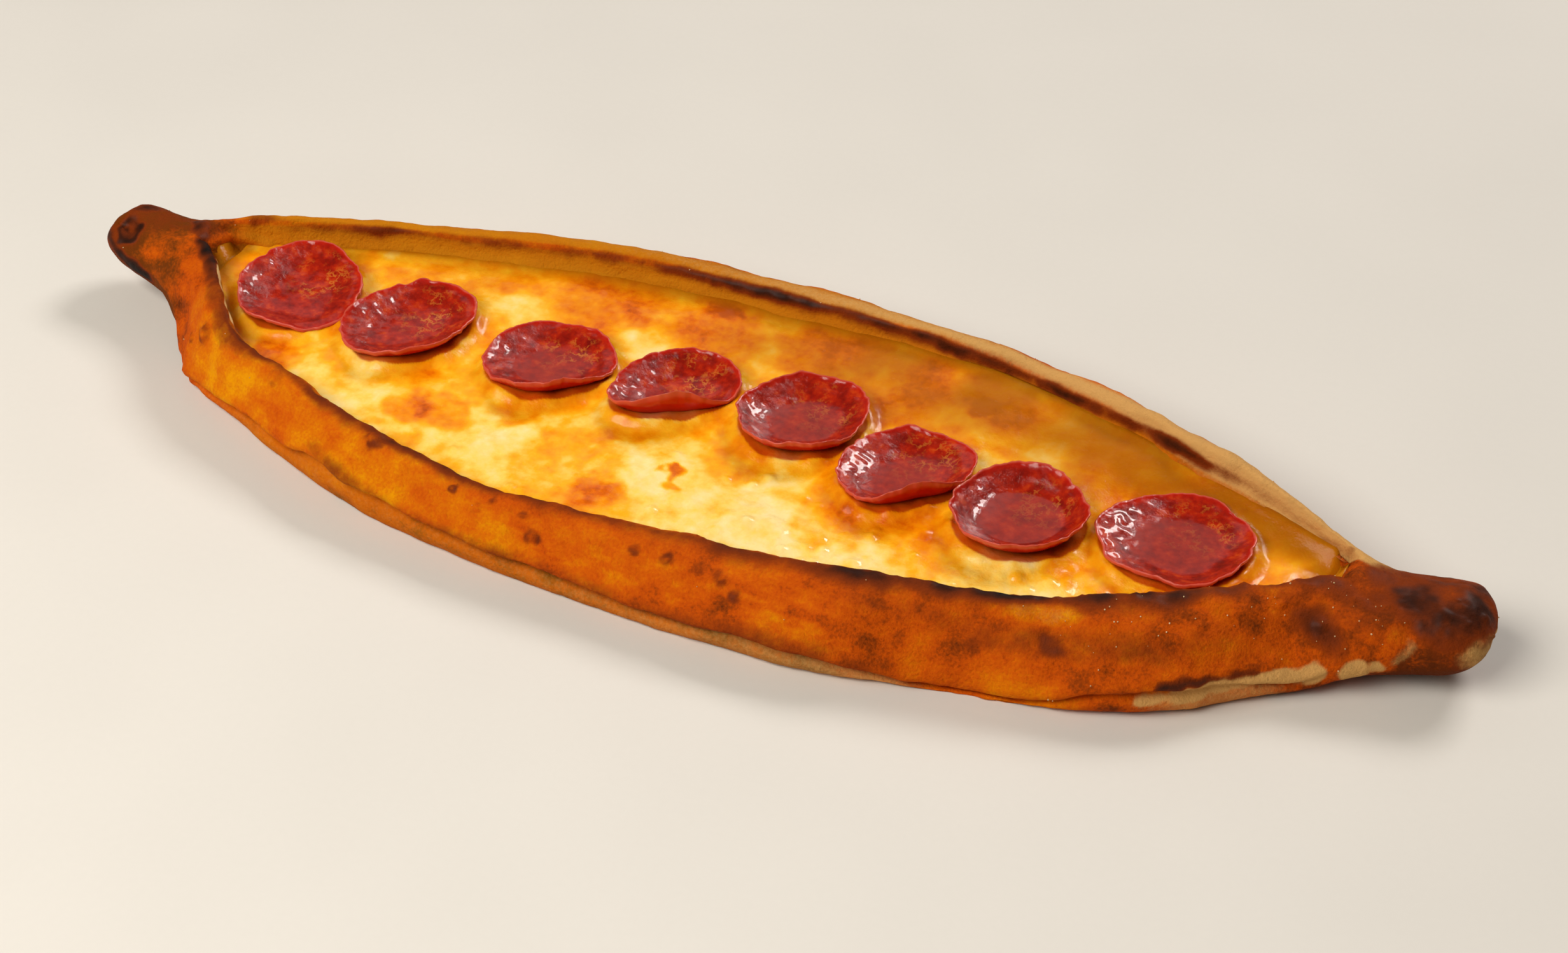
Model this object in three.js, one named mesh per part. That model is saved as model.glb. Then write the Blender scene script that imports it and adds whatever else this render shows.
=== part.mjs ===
// A Turkish pide: a boat of leavened dough whose long edges are folded in over melted cheese and
// whose ends are pinched shut, with a row of eight curled sausage slices baked on top.
// Millimetres. +X runs along the boat, +Z is up, and the origin is the middle of the flat underside.
// The edge at -Y is the near one and the edge at +Y the far one.
import * as THREE from "three";

// ---- Driving dimensions of the dough ----
const halfLength = 188.3;
const doughFloor = 5.5; // thickness of the dough under the cheese
const pinchFrom = 166; // beyond this distance from the middle an end is a plain roll
const pinchTo = 148; // and inside this one it has the full folded section
const openingLeft = { shut: -160, open: -148 };
const openingRight = { shut: 157, open: 144 };
// Length over which each tip rounds off, and how blunt it is (2 is a half circle).
const tip = { left: { length: 9, blunt: 2 }, right: { length: 9, blunt: 2.8 } };

// Each outline below is a list of [x, value] stations joined by a smooth curve.
const nearEdge = [
  [-188.3, -4], [-178, -5], [-168, -7], [-159, -12], [-150, -20.5], [-141, -30], [-119, -40.5],
  [-84, -54], [-45, -61.3], [-5, -63.2], [32, -63.2], [52, -61.6], [68, -57.2], [84, -52.2],
  [97, -50.2], [114, -46.3], [131, -37.8], [137, -32.4], [146, -24.2], [154, -20], [169, -11.5],
  [181, -8], [188.3, -7],
];
const farEdge = [
  [-188.3, 14], [-178, 15.5], [-166, 17], [-156, 21], [-145, 28.5], [-114, 43.5], [-87, 52],
  [-39, 61.7], [1, 63.5], [34, 62.3], [59, 58.8], [89, 50.5], [124, 36], [145, 23], [157, 17.5],
  [171, 16], [181, 16.5], [188.3, 14],
];
const nearCrest = [
  [-188.3, 2], [-166, 3], [-160, 5], [-149, -4], [-129, -25], [-123, -29.5], [-107, -34],
  [-92, -39.5], [-69, -45.5], [-42, -50], [-15, -50], [19, -47], [54, -43.8], [74, -41],
  [92, -35.8], [114, -25.8], [138, -11], [151, 0], [159, 5], [188.3, 3],
];
const farCrest = [
  [-188.3, 9], [-166, 11], [-158, 13], [-147, 18], [-135, 22], [-121, 27], [-100, 33],
  [-78, 39.5], [-55, 43.5], [-23, 46], [8, 47], [34, 46.5], [51, 44.5], [76, 39.5],
  [93, 34.5], [110, 28], [131, 20.5], [147, 14], [157, 11], [188.3, 9],
];
const nearTop = [
  [-188.3, 20], [-180, 22], [-170, 20.5], [-160, 22], [-150, 23], [-130, 22], [-100, 20.5],
  [-40, 20], [0, 20.5], [60, 22], [110, 23], [140, 22.5], [152, 22], [169, 21], [181, 21], [188.3, 19.5],
];
const farTop = [
  [-188.3, 20], [-180, 22], [-170, 21], [-160, 21.5], [-130, 21.8], [-100, 22.7], [-60, 23.2],
  [0, 23.3], [60, 23], [105, 24], [135, 23], [152, 20.5], [169, 21.5], [181, 23.5], [188.3, 21],
];
const underside = [
  [-188.3, 9], [-182, 7], [-172, 3.5], [-160, 0.6], [-150, 0], [150, 0], [160, 0.3],
  [172, 1], [182, 3.2], [188.3, 7],
];
// Height of the crease between the pale base and the browned flap folded over it.
const nearCrease = [
  [-150, 3], [-125, 6], [-105, 8.5], [-90, 10], [-70, 10], [-45, 8.5], [0, 7.5], [45, 7.5],
  [60, 6], [72, 3], [100, 3], [112, 6.5], [130, 7.5], [148, 5], [156, 3],
];
const farCrease = [[-150, 4], [-110, 8], [-60, 7], [0, 8.5], [60, 7.5], [110, 8], [150, 4]];

// Height at which the melted cheese meets each inner wall.
const cheeseHeightNear = [[-150, 13], [150, 13]];
const cheeseHeightFar = [[-150, 13.5], [-70, 14.5], [0, 15], [50, 16.5], [110, 17.5], [150, 17]];

// The burnt hollow in the pinched left end.
const eye = { at: new THREE.Vector3(-179.5, 0.5, 19.5), radius: 5.5, depth: 3 };

// ---- Driving dimensions of the filling ----
const cheeseGap = 0.35; // clearance between the cheese and the dough
const cheeseSwell = 0.9; // how far the middle of the cheese stands over its near edge
const cheeseLump = 0.8;
const cheeseLeft = -151;
const cheeseRight = 146;
const sliceThickness = 1.9;
const sliceGap = 0.4; // clearance between a slice and the cheese
const sliceRest = 13; // height of the lower face of a level slice at its middle

// at: centre in plan. along, across: radii, turned by turn. cup: rise of the whole rim.
// fold: extra rise of the rim on the side that faces foldTo. lean: slope of the whole slice, up
// towards leanTo. All angles are in degrees from +X.
const slices = [
  { at: [-124.9, -0.8], along: 16.7, across: 16.1, turn: 118, cup: 3.2, fold: 1.2, foldTo: -110, lean: 8 },
  { at: [-91.8, -1.2], along: 17.9, across: 15, turn: 65, cup: 3.4, fold: 3.2, foldTo: -50, lean: 3 },
  { at: [-51.5, -0.1], along: 16.6, across: 15.5, turn: 26, cup: 3.6, fold: 4.4, foldTo: -60, lean: 2 },
  { at: [-17.8, 3.6], along: 17, across: 12.7, turn: 45, cup: 4, fold: 7, foldTo: -66, lean: 3 },
  { at: [16.2, 5.9], along: 16.4, across: 15, turn: 50, cup: 5.4, fold: 1.6, foldTo: -75, lean: 1 },
  { at: [47, -2.1], along: 17, across: 14.4, turn: 53, cup: 4.2, fold: 5, foldTo: -52, lean: 1 },
  { at: [78.2, -6.4], along: 16, across: 16.1, turn: 128, cup: 6.4, fold: 0.8, foldTo: -30, lean: 0 },
  { at: [114.4, 0.9], along: 18.4, across: 16.6, turn: 6, cup: 4, fold: 0.8, foldTo: -20, lean: 0 },
];
const leanTo = 116;

// ---- Mesh densities ----
const crustStations = 100;
const cheeseColumns = 15;
const contactKey = 10; // index of the key point where the cheese meets the inner wall
const spanSteps = [1, 1, 1, 1, 2, 2, 2, 1, 1, 1, 1, 1]; // ring points per stretch of a half section
const sliceSides = 22;
const sliceInner = [0.3, 0.55, 0.76, 0.92]; // rings of the hollow face, as shares of the radius
const sliceOuter = [1, 0.84, 0.62, 0.35]; // and of the face that lies on the cheese

// ---- Small tools ----
const clamp = THREE.MathUtils.clamp;
const lerp = THREE.MathUtils.lerp;
const smooth = (low, high, x) => THREE.MathUtils.smoothstep(x, low, high);
const radians = THREE.MathUtils.degToRad;

// A smooth curve through [x, value] stations, read at x.
function through(stations, at) {
  const last = stations.length - 1;
  const x = clamp(at, stations[0][0], stations[last][0]);
  const slope = (i) => (stations[i + 1][1] - stations[i][1]) / (stations[i + 1][0] - stations[i][0]);
  const tangent = (i) => {
    if (i === 0) return slope(0);
    if (i === last) return slope(last - 1);
    return (slope(i - 1) + slope(i)) / 2;
  };
  let i = 0;
  while (i < last - 1 && x >= stations[i + 1][0]) i += 1;
  const step = stations[i + 1][0] - stations[i][0];
  const t = (x - stations[i][0]) / step;
  const t2 = t * t;
  const t3 = t2 * t;
  return (2 * t3 - 3 * t2 + 1) * stations[i][1] + (t3 - 2 * t2 + t) * step * tangent(i)
    + (3 * t2 - 2 * t3) * stations[i + 1][1] + (t3 - t2) * step * tangent(i + 1);
}

// An uneven wave between about -1 and 1, different for each phase.
function ripple(x, phase) {
  return 0.5 * Math.sin(x / 13 + 1.7 * phase) + 0.32 * Math.sin(x / 6.1 + 2.9 * phase)
    + 0.18 * Math.sin(x / 3.7 + 4.3 * phase);
}

// A closed surface over rings of equal length, with a fan over each end.
function loft(rings) {
  const count = rings[0].length;
  const positions = rings.flat().flatMap((p) => [p.x, p.y, p.z]);
  const index = [];
  for (let i = 0; i < rings.length - 1; i += 1) {
    for (let j = 0; j < count; j += 1) {
      const a = i * count + j;
      const b = i * count + ((j + 1) % count);
      index.push(a, a + count, b, b, a + count, b + count);
    }
  }
  const ends = [[0, 1], [(rings.length - 1) * count, -1]];
  for (const [start, way] of ends) {
    const middle = positions.length / 3;
    const centre = new THREE.Vector3();
    for (const p of rings[start / count]) centre.addScaledVector(p, 1 / count);
    positions.push(centre.x, centre.y, centre.z);
    for (let j = 0; j < count; j += 1) {
      const a = start + j;
      const b = start + ((j + 1) % count);
      if (way > 0) index.push(middle, a, b);
      else index.push(middle, b, a);
    }
  }
  const geometry = new THREE.BufferGeometry();
  geometry.setAttribute("position", new THREE.Float32BufferAttribute(positions, 3));
  geometry.setIndex(index);
  geometry.computeVertexNormals();
  return geometry;
}

// ---- The dough ----
// Angles, from straight down, of a half section's points where an end is a plain roll.
const rollAngles = [24, 50, 72, 92, 104, 122, 138, 150, 158, 165, 171, 176];

// The two long sides. innerLean is how far the inner wall slopes in by the cheese edge, and phase
// sets its unevenness apart from the other side's.
const sides = [
  {
    inward: 1, edge: nearEdge, crest: nearCrest, top: nearTop, crease: nearCrease,
    cheese: cheeseHeightNear, innerLean: 0.6, phase: 1,
  },
  {
    inward: -1, edge: farEdge, crest: farCrest, top: farTop, crease: farCrease,
    cheese: cheeseHeightFar, innerLean: 2.4, phase: 6,
  },
];

// How far the boat is open at station x, from 0 at the pinched ends to 1.
function openness(x) {
  return smooth(openingLeft.shut, openingLeft.open, x)
    * (1 - smooth(openingRight.open, openingRight.shut, x));
}

// [y, z] points of one half of the folded section, from the flat underside, up the pale base,
// over the crease and the browned flap to the crest, and down the inner wall to the dough floor.
function foldedHalf(side, x) {
  const { inward, innerLean, phase } = side;
  const open = openness(x);
  const edge = through(side.edge, x);
  const scale = Math.min(1, (through(farEdge, x) - through(nearEdge, x)) / 80);
  const wall = Math.min(1, Math.abs(through(farCrest, x) - through(nearCrest, x)) / 30);
  const uneven = open * scale;
  const crest = through(side.crest, x) + 0.8 * uneven * ripple(x, phase);
  const top = through(side.top, x) + 0.6 * uneven * ripple(x, phase + 1);
  const crease = through(side.crease, x) + 0.7 * uneven * ripple(x, phase + 2);
  const swell = 0.7 * uneven * ripple(x, phase + 3);
  const depth = (top - doughFloor) * open;
  const outward = (share) => lerp(edge, crest, share);
  const upward = (share) => lerp(crease, top, share);
  return [
    [edge + inward * 9 * scale, 0],
    [edge + inward * 2.4 * scale, 1.4],
    [edge + inward * 0.5 * scale, 0.55 * crease],
    [edge + inward * 2 * scale, crease],
    [edge + inward * 0.2 * scale, crease + 2.2],
    [outward(0.3), upward(0.6) + swell],
    [outward(0.6), upward(0.9) + swell / 2],
    [outward(0.85), top],
    [crest, top - 1.2 * open],
    [crest + inward * 0.8 * wall, top - Math.min(depth, 4.5)],
    [crest + inward * innerLean * wall, top - Math.min(depth, top - through(side.cheese, x))],
    [crest + inward * 3.4 * wall, top - depth],
  ];
}

// Key points round the whole section at station x.
function crustKeys(x) {
  const roll = 1 - smooth(-pinchFrom, -pinchTo, x) * (1 - smooth(pinchTo, pinchFrom, x));
  const end = x < 0 ? tip.left : tip.right;
  const past = Math.max(0, 1 - (halfLength - Math.abs(x)) / end.length);
  const cap = (1 - past ** end.blunt) ** (1 / end.blunt);
  const low = through(underside, x);
  const top = (through(nearTop, x) + through(farTop, x)) / 2;
  const middle = (through(nearEdge, x) + through(farEdge, x)) / 2;
  const half = (through(farEdge, x) - through(nearEdge, x)) / 2;
  const centre = (top + low) / 2;
  const tall = (top - low) / 2;
  const place = (y, z) => (
    new THREE.Vector3(x, middle + (y - middle) * cap, centre + (z - centre) * cap));
  const [nearHalf, farHalf] = sides.map((side) => foldedHalf(side, x).map(([y, z], i) => {
    const angle = radians(rollAngles[i]);
    const rollY = middle - side.inward * half * Math.sin(angle);
    const rollZ = centre - tall * Math.cos(angle);
    return place(lerp(y, rollY, roll), lerp(z + low, rollZ, roll));
  }));
  const floorY = lerp((through(nearCrest, x) + through(farCrest, x)) / 2, middle, roll);
  const floorZ = lerp(top - (top - doughFloor) * openness(x), top, roll);
  return [...nearHalf, place(floorY, floorZ), ...farHalf.reverse(), place(middle, low)];
}

// A ring of points on the smooth closed curve through the keys.
function ringThrough(keys, steps) {
  const curve = new THREE.CatmullRomCurve3(keys, true, "catmullrom", 0.5);
  const ring = [];
  keys.forEach((_, i) => {
    const count = steps[i] ?? steps[2 * steps.length - 1 - i] ?? 1;
    for (let k = 0; k < count; k += 1) ring.push(curve.getPoint((i + k / count) / keys.length));
  });
  for (const p of ring) p.z = Math.max(p.z, 0);
  return ring;
}

// Moves a point of the dough inwards when it lies in the burnt hollow.
function pressEye(point) {
  const away = point.distanceTo(eye.at) / eye.radius;
  if (away >= 1) return;
  const share = (1 - away * away) ** 2;
  const middle = (through(nearEdge, point.x) + through(farEdge, point.x)) / 2;
  const core = new THREE.Vector3(point.x, middle, 14);
  point.add(core.sub(point).normalize().multiplyScalar(eye.depth * share));
}

// Station for a share from -1 to 1 of the length; stations bunch towards the tips.
function crustStation(share) {
  const bunched = Math.sin((Math.PI / 2) * share);
  return (halfLength - 0.1) * lerp(share, bunched, 0.75);
}

function crustGeometry() {
  const rings = [];
  for (let i = 0; i <= crustStations; i += 1) {
    const ring = ringThrough(crustKeys(crustStation((2 * i) / crustStations - 1)), spanSteps);
    ring.forEach(pressEye);
    rings.push(ring);
  }
  return loft(rings);
}

// ---- The slices ----
// Rise of a slice over its own middle, at a share of its radius in the direction of angle.
function sliceRise(slice, share, angle) {
  const facing = Math.cos(angle - radians(slice.foldTo));
  const fold = Math.max(0, (share * facing - 0.32) / 0.68);
  const slope = Math.tan(radians(slice.lean)) * Math.cos(angle - radians(leanTo));
  return slice.cup * share ** 3.5 + slice.fold * fold * fold + slice.along * slope * share;
}

// Point of a slice: share of the radius, angle in plan, and height above its lower face.
function slicePoint(slice, number, share, angle, thick) {
  const own = angle - radians(slice.turn);
  const oval = (slice.along * slice.across)
    / Math.hypot(slice.across * Math.cos(own), slice.along * Math.sin(own));
  const wavy = 1 + 0.022 * Math.sin(3 * angle + 2.1 * number)
    + 0.014 * Math.sin(5 * angle + 4.7 * number);
  const facing = Math.max(0, share * Math.cos(angle - radians(slice.foldTo)) - 0.3);
  const reach = oval * wavy * share * (1 - 0.03 * slice.fold * facing * facing);
  const rise = sliceRise(slice, share, angle) + 0.35 * share ** 3 * Math.sin(4 * angle + number);
  return new THREE.Vector3(
    slice.at[0] + reach * Math.cos(angle),
    slice.at[1] + reach * Math.sin(angle),
    sliceRest + slice.lift + Math.max(rise, -2) + thick,
  );
}

function sliceGeometry(slice, number) {
  const ringAt = (share, thick) => Array.from({ length: sliceSides }, (_, k) => (
    slicePoint(slice, number, share, (-2 * Math.PI * k) / sliceSides, thick)));
  const rings = [
    ...sliceOuter.toReversed().map((share) => ringAt(share, 0)),
    ringAt(1.01, sliceThickness / 2),
    ...sliceInner.toReversed().map((share) => ringAt(share, sliceThickness)),
  ];
  return loft(rings);
}

// A leaning slice stands higher, so that its low side still rests on the cheese.
for (const slice of slices) slice.lift = 0.6 * slice.along * Math.tan(radians(slice.lean));

// ---- The cheese ----
// Height of the bare cheese, before the slices press into it.
function cheeseLumps(x, y) {
  return cheeseLump * (0.45 * Math.sin(x / 9.3 + y / 14 + 1.1) * Math.sin(y / 8.1 - x / 31 + 0.4)
    + 0.35 * Math.sin(x / 5.2 - y / 7.7) + 0.25 * Math.sin(y / 4.6 + x / 19 + 2));
}

// across runs from -1 at the near inner wall to 1 at the far one, up which the cheese climbs.
function cheeseHeight(x, y, across) {
  const climb = smooth(0.25, 1.05, across);
  const edge = lerp(through(cheeseHeightNear, x), through(cheeseHeightFar, x), climb);
  let z = edge + (cheeseSwell + cheeseLumps(x, y)) * (1 - across ** 4);
  slices.forEach((slice, i) => {
    const dx = x - slice.at[0];
    const dy = y - slice.at[1];
    const angle = Math.atan2(dy, dx);
    const rim = slicePoint(slice, i + 1, 1, angle, 0);
    const share = Math.hypot(dx, dy) / Math.hypot(rim.x - slice.at[0], rim.y - slice.at[1]);
    if (share > 1.35) return;
    const gap = sliceGap * (1 + 1.6 * Math.min(share, 1) ** 2) + 0.07 * slice.fold;
    const under = slicePoint(slice, i + 1, Math.min(share, 1), angle, 0).z - gap;
    z = Math.min(z, lerp(under, z, smooth(0.98, 1.35, share)));
  });
  return z;
}

// The run of a ring's points from the near cheese edge, over the dough floor, to the far one.
function lining(ring) {
  const total = (steps) => steps.reduce((sum, n) => sum + n, 0);
  const before = total(spanSteps.slice(0, contactKey));
  const within = 2 * total(spanSteps.slice(contactKey));
  return ring.slice(before, before + within + 1);
}

function cheeseGeometry() {
  const rings = [];
  for (let i = 0; i <= crustStations; i += 1) {
    const x = crustStation((2 * i) / crustStations - 1);
    if (x < cheeseLeft || x > cheeseRight) continue;
    const bed = lining(ringThrough(crustKeys(x), spanSteps));
    const bottom = bed.map((p, k) => {
      const along = bed[Math.min(k + 1, bed.length - 1)].clone().sub(bed[Math.max(k - 1, 0)]);
      const clear = new THREE.Vector3(0, -along.z, along.y).setLength(cheeseGap);
      return p.clone().add(clear);
    });
    const near = bottom[0];
    const far = bottom[bottom.length - 1];
    const floor = Math.min(...bottom.map((p) => p.z));
    const top = [];
    for (let k = 1; k < cheeseColumns; k += 1) {
      const y = lerp(far.y, near.y, k / cheeseColumns);
      const z = cheeseHeight(x, y, 1 - (2 * k) / cheeseColumns);
      top.push(new THREE.Vector3(x, y, Math.max(z, floor + 0.6)));
    }
    rings.push([...bottom, ...top].reverse());
  }
  return loft(rings);
}

// ---- The group ----
const finishes = {
  crust: new THREE.MeshStandardMaterial({ color: 0xc8742c, roughness: 0.62, metalness: 0 }),
  cheese: new THREE.MeshStandardMaterial({ color: 0xf2bf4e, roughness: 0.36, metalness: 0 }),
  sausage: new THREE.MeshStandardMaterial({ color: 0x8f2418, roughness: 0.28, metalness: 0 }),
};

function named(name, geometry, finish) {
  const mesh = new THREE.Mesh(geometry, finish);
  mesh.name = name;
  return mesh;
}

const pide = new THREE.Group();
pide.add(named("crust", crustGeometry(), finishes.crust));
pide.add(named("cheese", cheeseGeometry(), finishes.cheese));
slices.forEach((slice, i) => {
  pide.add(named(`sucuk_${i + 1}`, sliceGeometry(slice, i + 1), finishes.sausage));
});

export default pide;
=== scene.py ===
"""A Turkish pide: a long boat of baked dough, melted cheese and a row of curled sausage slices.

The makers below work in millimetres in the frame's own axes (+X along the boat, near edge at -Y,
+Z up) and mesh_piece turns their points into metres. The camera, the lights and the floor are
placed in metres.
"""
import math

import bpy
import numpy as np
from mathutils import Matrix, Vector


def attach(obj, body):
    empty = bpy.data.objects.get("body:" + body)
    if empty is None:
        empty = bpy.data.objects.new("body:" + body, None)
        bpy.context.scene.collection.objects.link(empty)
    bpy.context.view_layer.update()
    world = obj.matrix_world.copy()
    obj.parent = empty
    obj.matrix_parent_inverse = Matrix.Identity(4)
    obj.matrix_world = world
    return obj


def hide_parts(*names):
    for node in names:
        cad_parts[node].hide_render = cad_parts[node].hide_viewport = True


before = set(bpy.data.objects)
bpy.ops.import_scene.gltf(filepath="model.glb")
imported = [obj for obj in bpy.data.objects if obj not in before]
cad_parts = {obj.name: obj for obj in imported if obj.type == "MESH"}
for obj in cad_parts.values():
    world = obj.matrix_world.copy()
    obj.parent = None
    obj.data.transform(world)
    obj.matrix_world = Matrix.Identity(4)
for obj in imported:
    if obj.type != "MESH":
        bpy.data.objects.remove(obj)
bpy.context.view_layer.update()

MM = 0.001  # metres in a millimetre
WHITE = (1.0, 1.0, 1.0, 1.0)

# ---- Camera ----
CAMERA_TARGET = Vector((0.0126, 0.0026, 0.0))
CAMERA_DISTANCE = 0.72312
CAMERA_ELEVATION = 38.0
CAMERA_AZIMUTH = 25.849
CAMERA_LENS, CAMERA_SENSOR = 67.18, 36.0  # focal length and sensor width in millimetres
CAMERA_NEAREST = 0.01


def direction(azimuth, elevation):
    """Unit vector that points from the object towards an azimuth (0 is -Y) and elevation, in degrees."""
    turn, lift = math.radians(azimuth), math.radians(elevation)
    return Vector((math.sin(turn) * math.cos(lift), -math.cos(turn) * math.cos(lift), math.sin(lift)))


def aim(thing, spot, target):
    """Put a camera or light at spot and point it at target."""
    thing.location = spot
    thing.rotation_euler = (target - spot).to_track_quat("-Z", "Y").to_euler()
    bpy.context.scene.collection.objects.link(thing)


def make_camera():
    """The camera, high over the near side and to its right, aimed close to the middle of the boat."""
    lens = bpy.data.cameras.new("camera")
    lens.lens = CAMERA_LENS
    lens.sensor_width = CAMERA_SENSOR
    lens.clip_start = CAMERA_NEAREST
    camera = bpy.data.objects.new("camera", lens)
    away = direction(CAMERA_AZIMUTH, CAMERA_ELEVATION) * CAMERA_DISTANCE
    aim(camera, CAMERA_TARGET + away, CAMERA_TARGET)
    bpy.context.scene.camera = camera


make_camera()

# ---- Driving dimensions of the dough ----
HALF_LENGTH = 188.3
DOUGH_FLOOR = 5.5
PINCH_FROM, PINCH_TO = 166, 148  # beyond the first an end is a plain roll, inside the second it is folded
OPENING_LEFT = (-160, -148)  # where the boat starts to open and where it is fully open
OPENING_RIGHT = (144, 157)
TIP_LENGTH = 9
TIP_BLUNT_LEFT, TIP_BLUNT_RIGHT = 2, 2.8
EYE_AT, EYE_RADIUS, EYE_DEPTH = np.array((-179.5, 0.5, 19.5)), 5.5, 3  # burnt hollow in the left knob
KNOB_MIDDLE = 14  # height of the left knob's middle
FULL_WIDTH, FULL_OPENING = 80, 30  # a narrower boat has smaller rounds, a narrower opening steeper inner walls

# Key points are counted round half a section, from the underside to the middle of the dough floor.
CREASE_AT, CREST_AT, CHEESE_AT, FLOOR_AT = 3, 8, 10, 12

# Outlines are lists of [x, value] stations joined by a smooth curve.
NEAR_EDGE = [
    [-188.3, -4], [-178, -5], [-168, -7], [-159, -12], [-150, -20.5], [-141, -30], [-119, -40.5],
    [-84, -54], [-45, -61.3], [-5, -63.2], [32, -63.2], [52, -61.6], [68, -57.2], [84, -52.2],
    [97, -50.2], [114, -46.3], [131, -37.8], [137, -32.4], [146, -24.2], [154, -20], [169, -11.5],
    [181, -8], [188.3, -7],
]
FAR_EDGE = [
    [-188.3, 14], [-178, 15.5], [-166, 17], [-156, 21], [-145, 28.5], [-114, 43.5], [-87, 52],
    [-39, 61.7], [1, 63.5], [34, 62.3], [59, 58.8], [89, 50.5], [124, 36], [145, 23], [157, 17.5],
    [171, 16], [181, 16.5], [188.3, 14],
]
NEAR_CREST = [
    [-188.3, 2], [-166, 3], [-160, 5], [-149, -4], [-129, -25], [-123, -29.5], [-107, -34],
    [-92, -39.5], [-69, -45.5], [-42, -50], [-15, -50], [19, -47], [54, -43.8], [74, -41],
    [92, -35.8], [114, -25.8], [138, -11], [151, 0], [159, 5], [188.3, 3],
]
FAR_CREST = [
    [-188.3, 9], [-166, 11], [-158, 13], [-147, 18], [-135, 22], [-121, 27], [-100, 33],
    [-78, 39.5], [-55, 43.5], [-23, 46], [8, 47], [34, 46.5], [51, 44.5], [76, 39.5],
    [93, 34.5], [110, 28], [131, 20.5], [147, 14], [157, 11], [188.3, 9],
]
NEAR_TOP = [
    [-188.3, 20], [-180, 22], [-170, 20.5], [-160, 22], [-150, 23], [-130, 22], [-100, 20.5],
    [-40, 20], [0, 20.5], [60, 22], [110, 23], [140, 22.5], [152, 22], [169, 21], [181, 21],
    [188.3, 19.5],
]
FAR_TOP = [
    [-188.3, 20], [-180, 22], [-170, 21], [-160, 21.5], [-130, 21.8], [-100, 22.7], [-60, 23.2],
    [0, 23.3], [60, 23], [105, 24], [135, 23], [152, 20.5], [169, 21.5], [181, 23.5], [188.3, 21],
]
UNDERSIDE = [
    [-188.3, 9], [-182, 7], [-172, 3.5], [-160, 0.6], [-150, 0], [150, 0], [160, 0.3],
    [172, 1], [182, 3.2], [188.3, 7],
]
NEAR_CREASE = [
    [-150, 3], [-125, 6], [-105, 8.5], [-90, 10], [-70, 10], [-45, 8.5], [0, 7.5], [45, 7.5],
    [60, 6], [72, 3], [100, 3], [112, 6.5], [130, 7.5], [148, 5], [156, 3],
]
FAR_CREASE = [[-150, 4], [-110, 8], [-60, 7], [0, 8.5], [60, 7.5], [110, 8], [150, 4]]
CHEESE_LINE_NEAR = [[-150, 13], [150, 13]]
CHEESE_LINE_FAR = [[-150, 13.5], [-70, 14.5], [0, 15], [50, 16.5], [110, 17.5], [150, 17]]

# Angles, from straight down, of a half section's points where an end is a plain roll.
ROLL_ANGLES = [24, 50, 72, 92, 104, 122, 138, 150, 158, 165, 171, 176]

# ---- Driving dimensions of the filling ----
CHEESE_SWELL, CHEESE_LUMP = 0.9, 0.8  # how far its middle bulges, and the height of its lumps
CHEESE_LEFT, CHEESE_RIGHT = -155, 153
CHEESE_DIVE = 6  # how far its ends dive into the pinched dough
CHEESE_OVERLAP = 1.8  # how far its sides run into the walls of the dough
BUBBLES = 80
SLICE_THICKNESS = 1.9
SLICE_SOLE = 0.985  # how far out its lower face reaches, as a share of its radius
SLICE_REST = 13  # height of a level slice's lower face at its middle
LEAN_TO = 116
# Pale specks of flour and crumb, which also stand in for small glints on the right flap: painted highlights.
FLOUR_AND_GLINT_SPECKS = 100
FLOUR_AND_GLINT_RADII = (0.1, 0.24)

# at: centre in plan. along, across: radii, turned by turn. cup: rise of the whole rim.
# fold: extra rise of the rim that faces fold_to. lean: slope of the whole slice, up towards LEAN_TO.
SLICE_FIELDS = ("x", "y", "along", "across", "turn", "cup", "fold", "fold_to", "lean")
SLICES = [dict(zip(SLICE_FIELDS, row)) for row in (
    (-124.9, -0.8, 16.7, 16.1, 118, 3.2, 1.2, -110, 8),
    (-91.8, -1.2, 17.9, 15, 65, 3.4, 3.2, -50, 3),
    (-51.5, -0.1, 16.6, 15.5, 26, 3.6, 4.4, -60, 2),
    (-17.8, 3.6, 17, 12.7, 45, 4, 7, -66, 3),
    (16.2, 5.9, 16.4, 15, 50, 5.4, 1.6, -75, 1),
    (47, -2.1, 17, 14.4, 53, 4.2, 5, -52, 1),
    (78.2, -6.4, 16, 16.1, 128, 6.4, 0.8, -30, 0),
    (114.4, 0.9, 18.4, 16.6, 6, 4, 0.8, -20, 0),
)]

# ---- Mesh densities ----
CRUST_STATIONS = 540
STATIONS_TO_ENDS = 0.35  # how much closer together they lie towards the ends
END_GAP = 0.1  # from the last station to the dough's very end
SPAN_POINTS = [5, 4, 6, 6, 13, 11, 7, 5, 6, 6, 2, 2]  # ring points per stretch of a half section
BASE_POINTS = 8  # ring points in each half of the underside
CHEESE_STATIONS, CHEESE_COLUMNS = 590, 158
SLICE_SIDES = 260
SLICE_TOP_RINGS, SLICE_UNDER_RINGS = 46, 14

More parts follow.
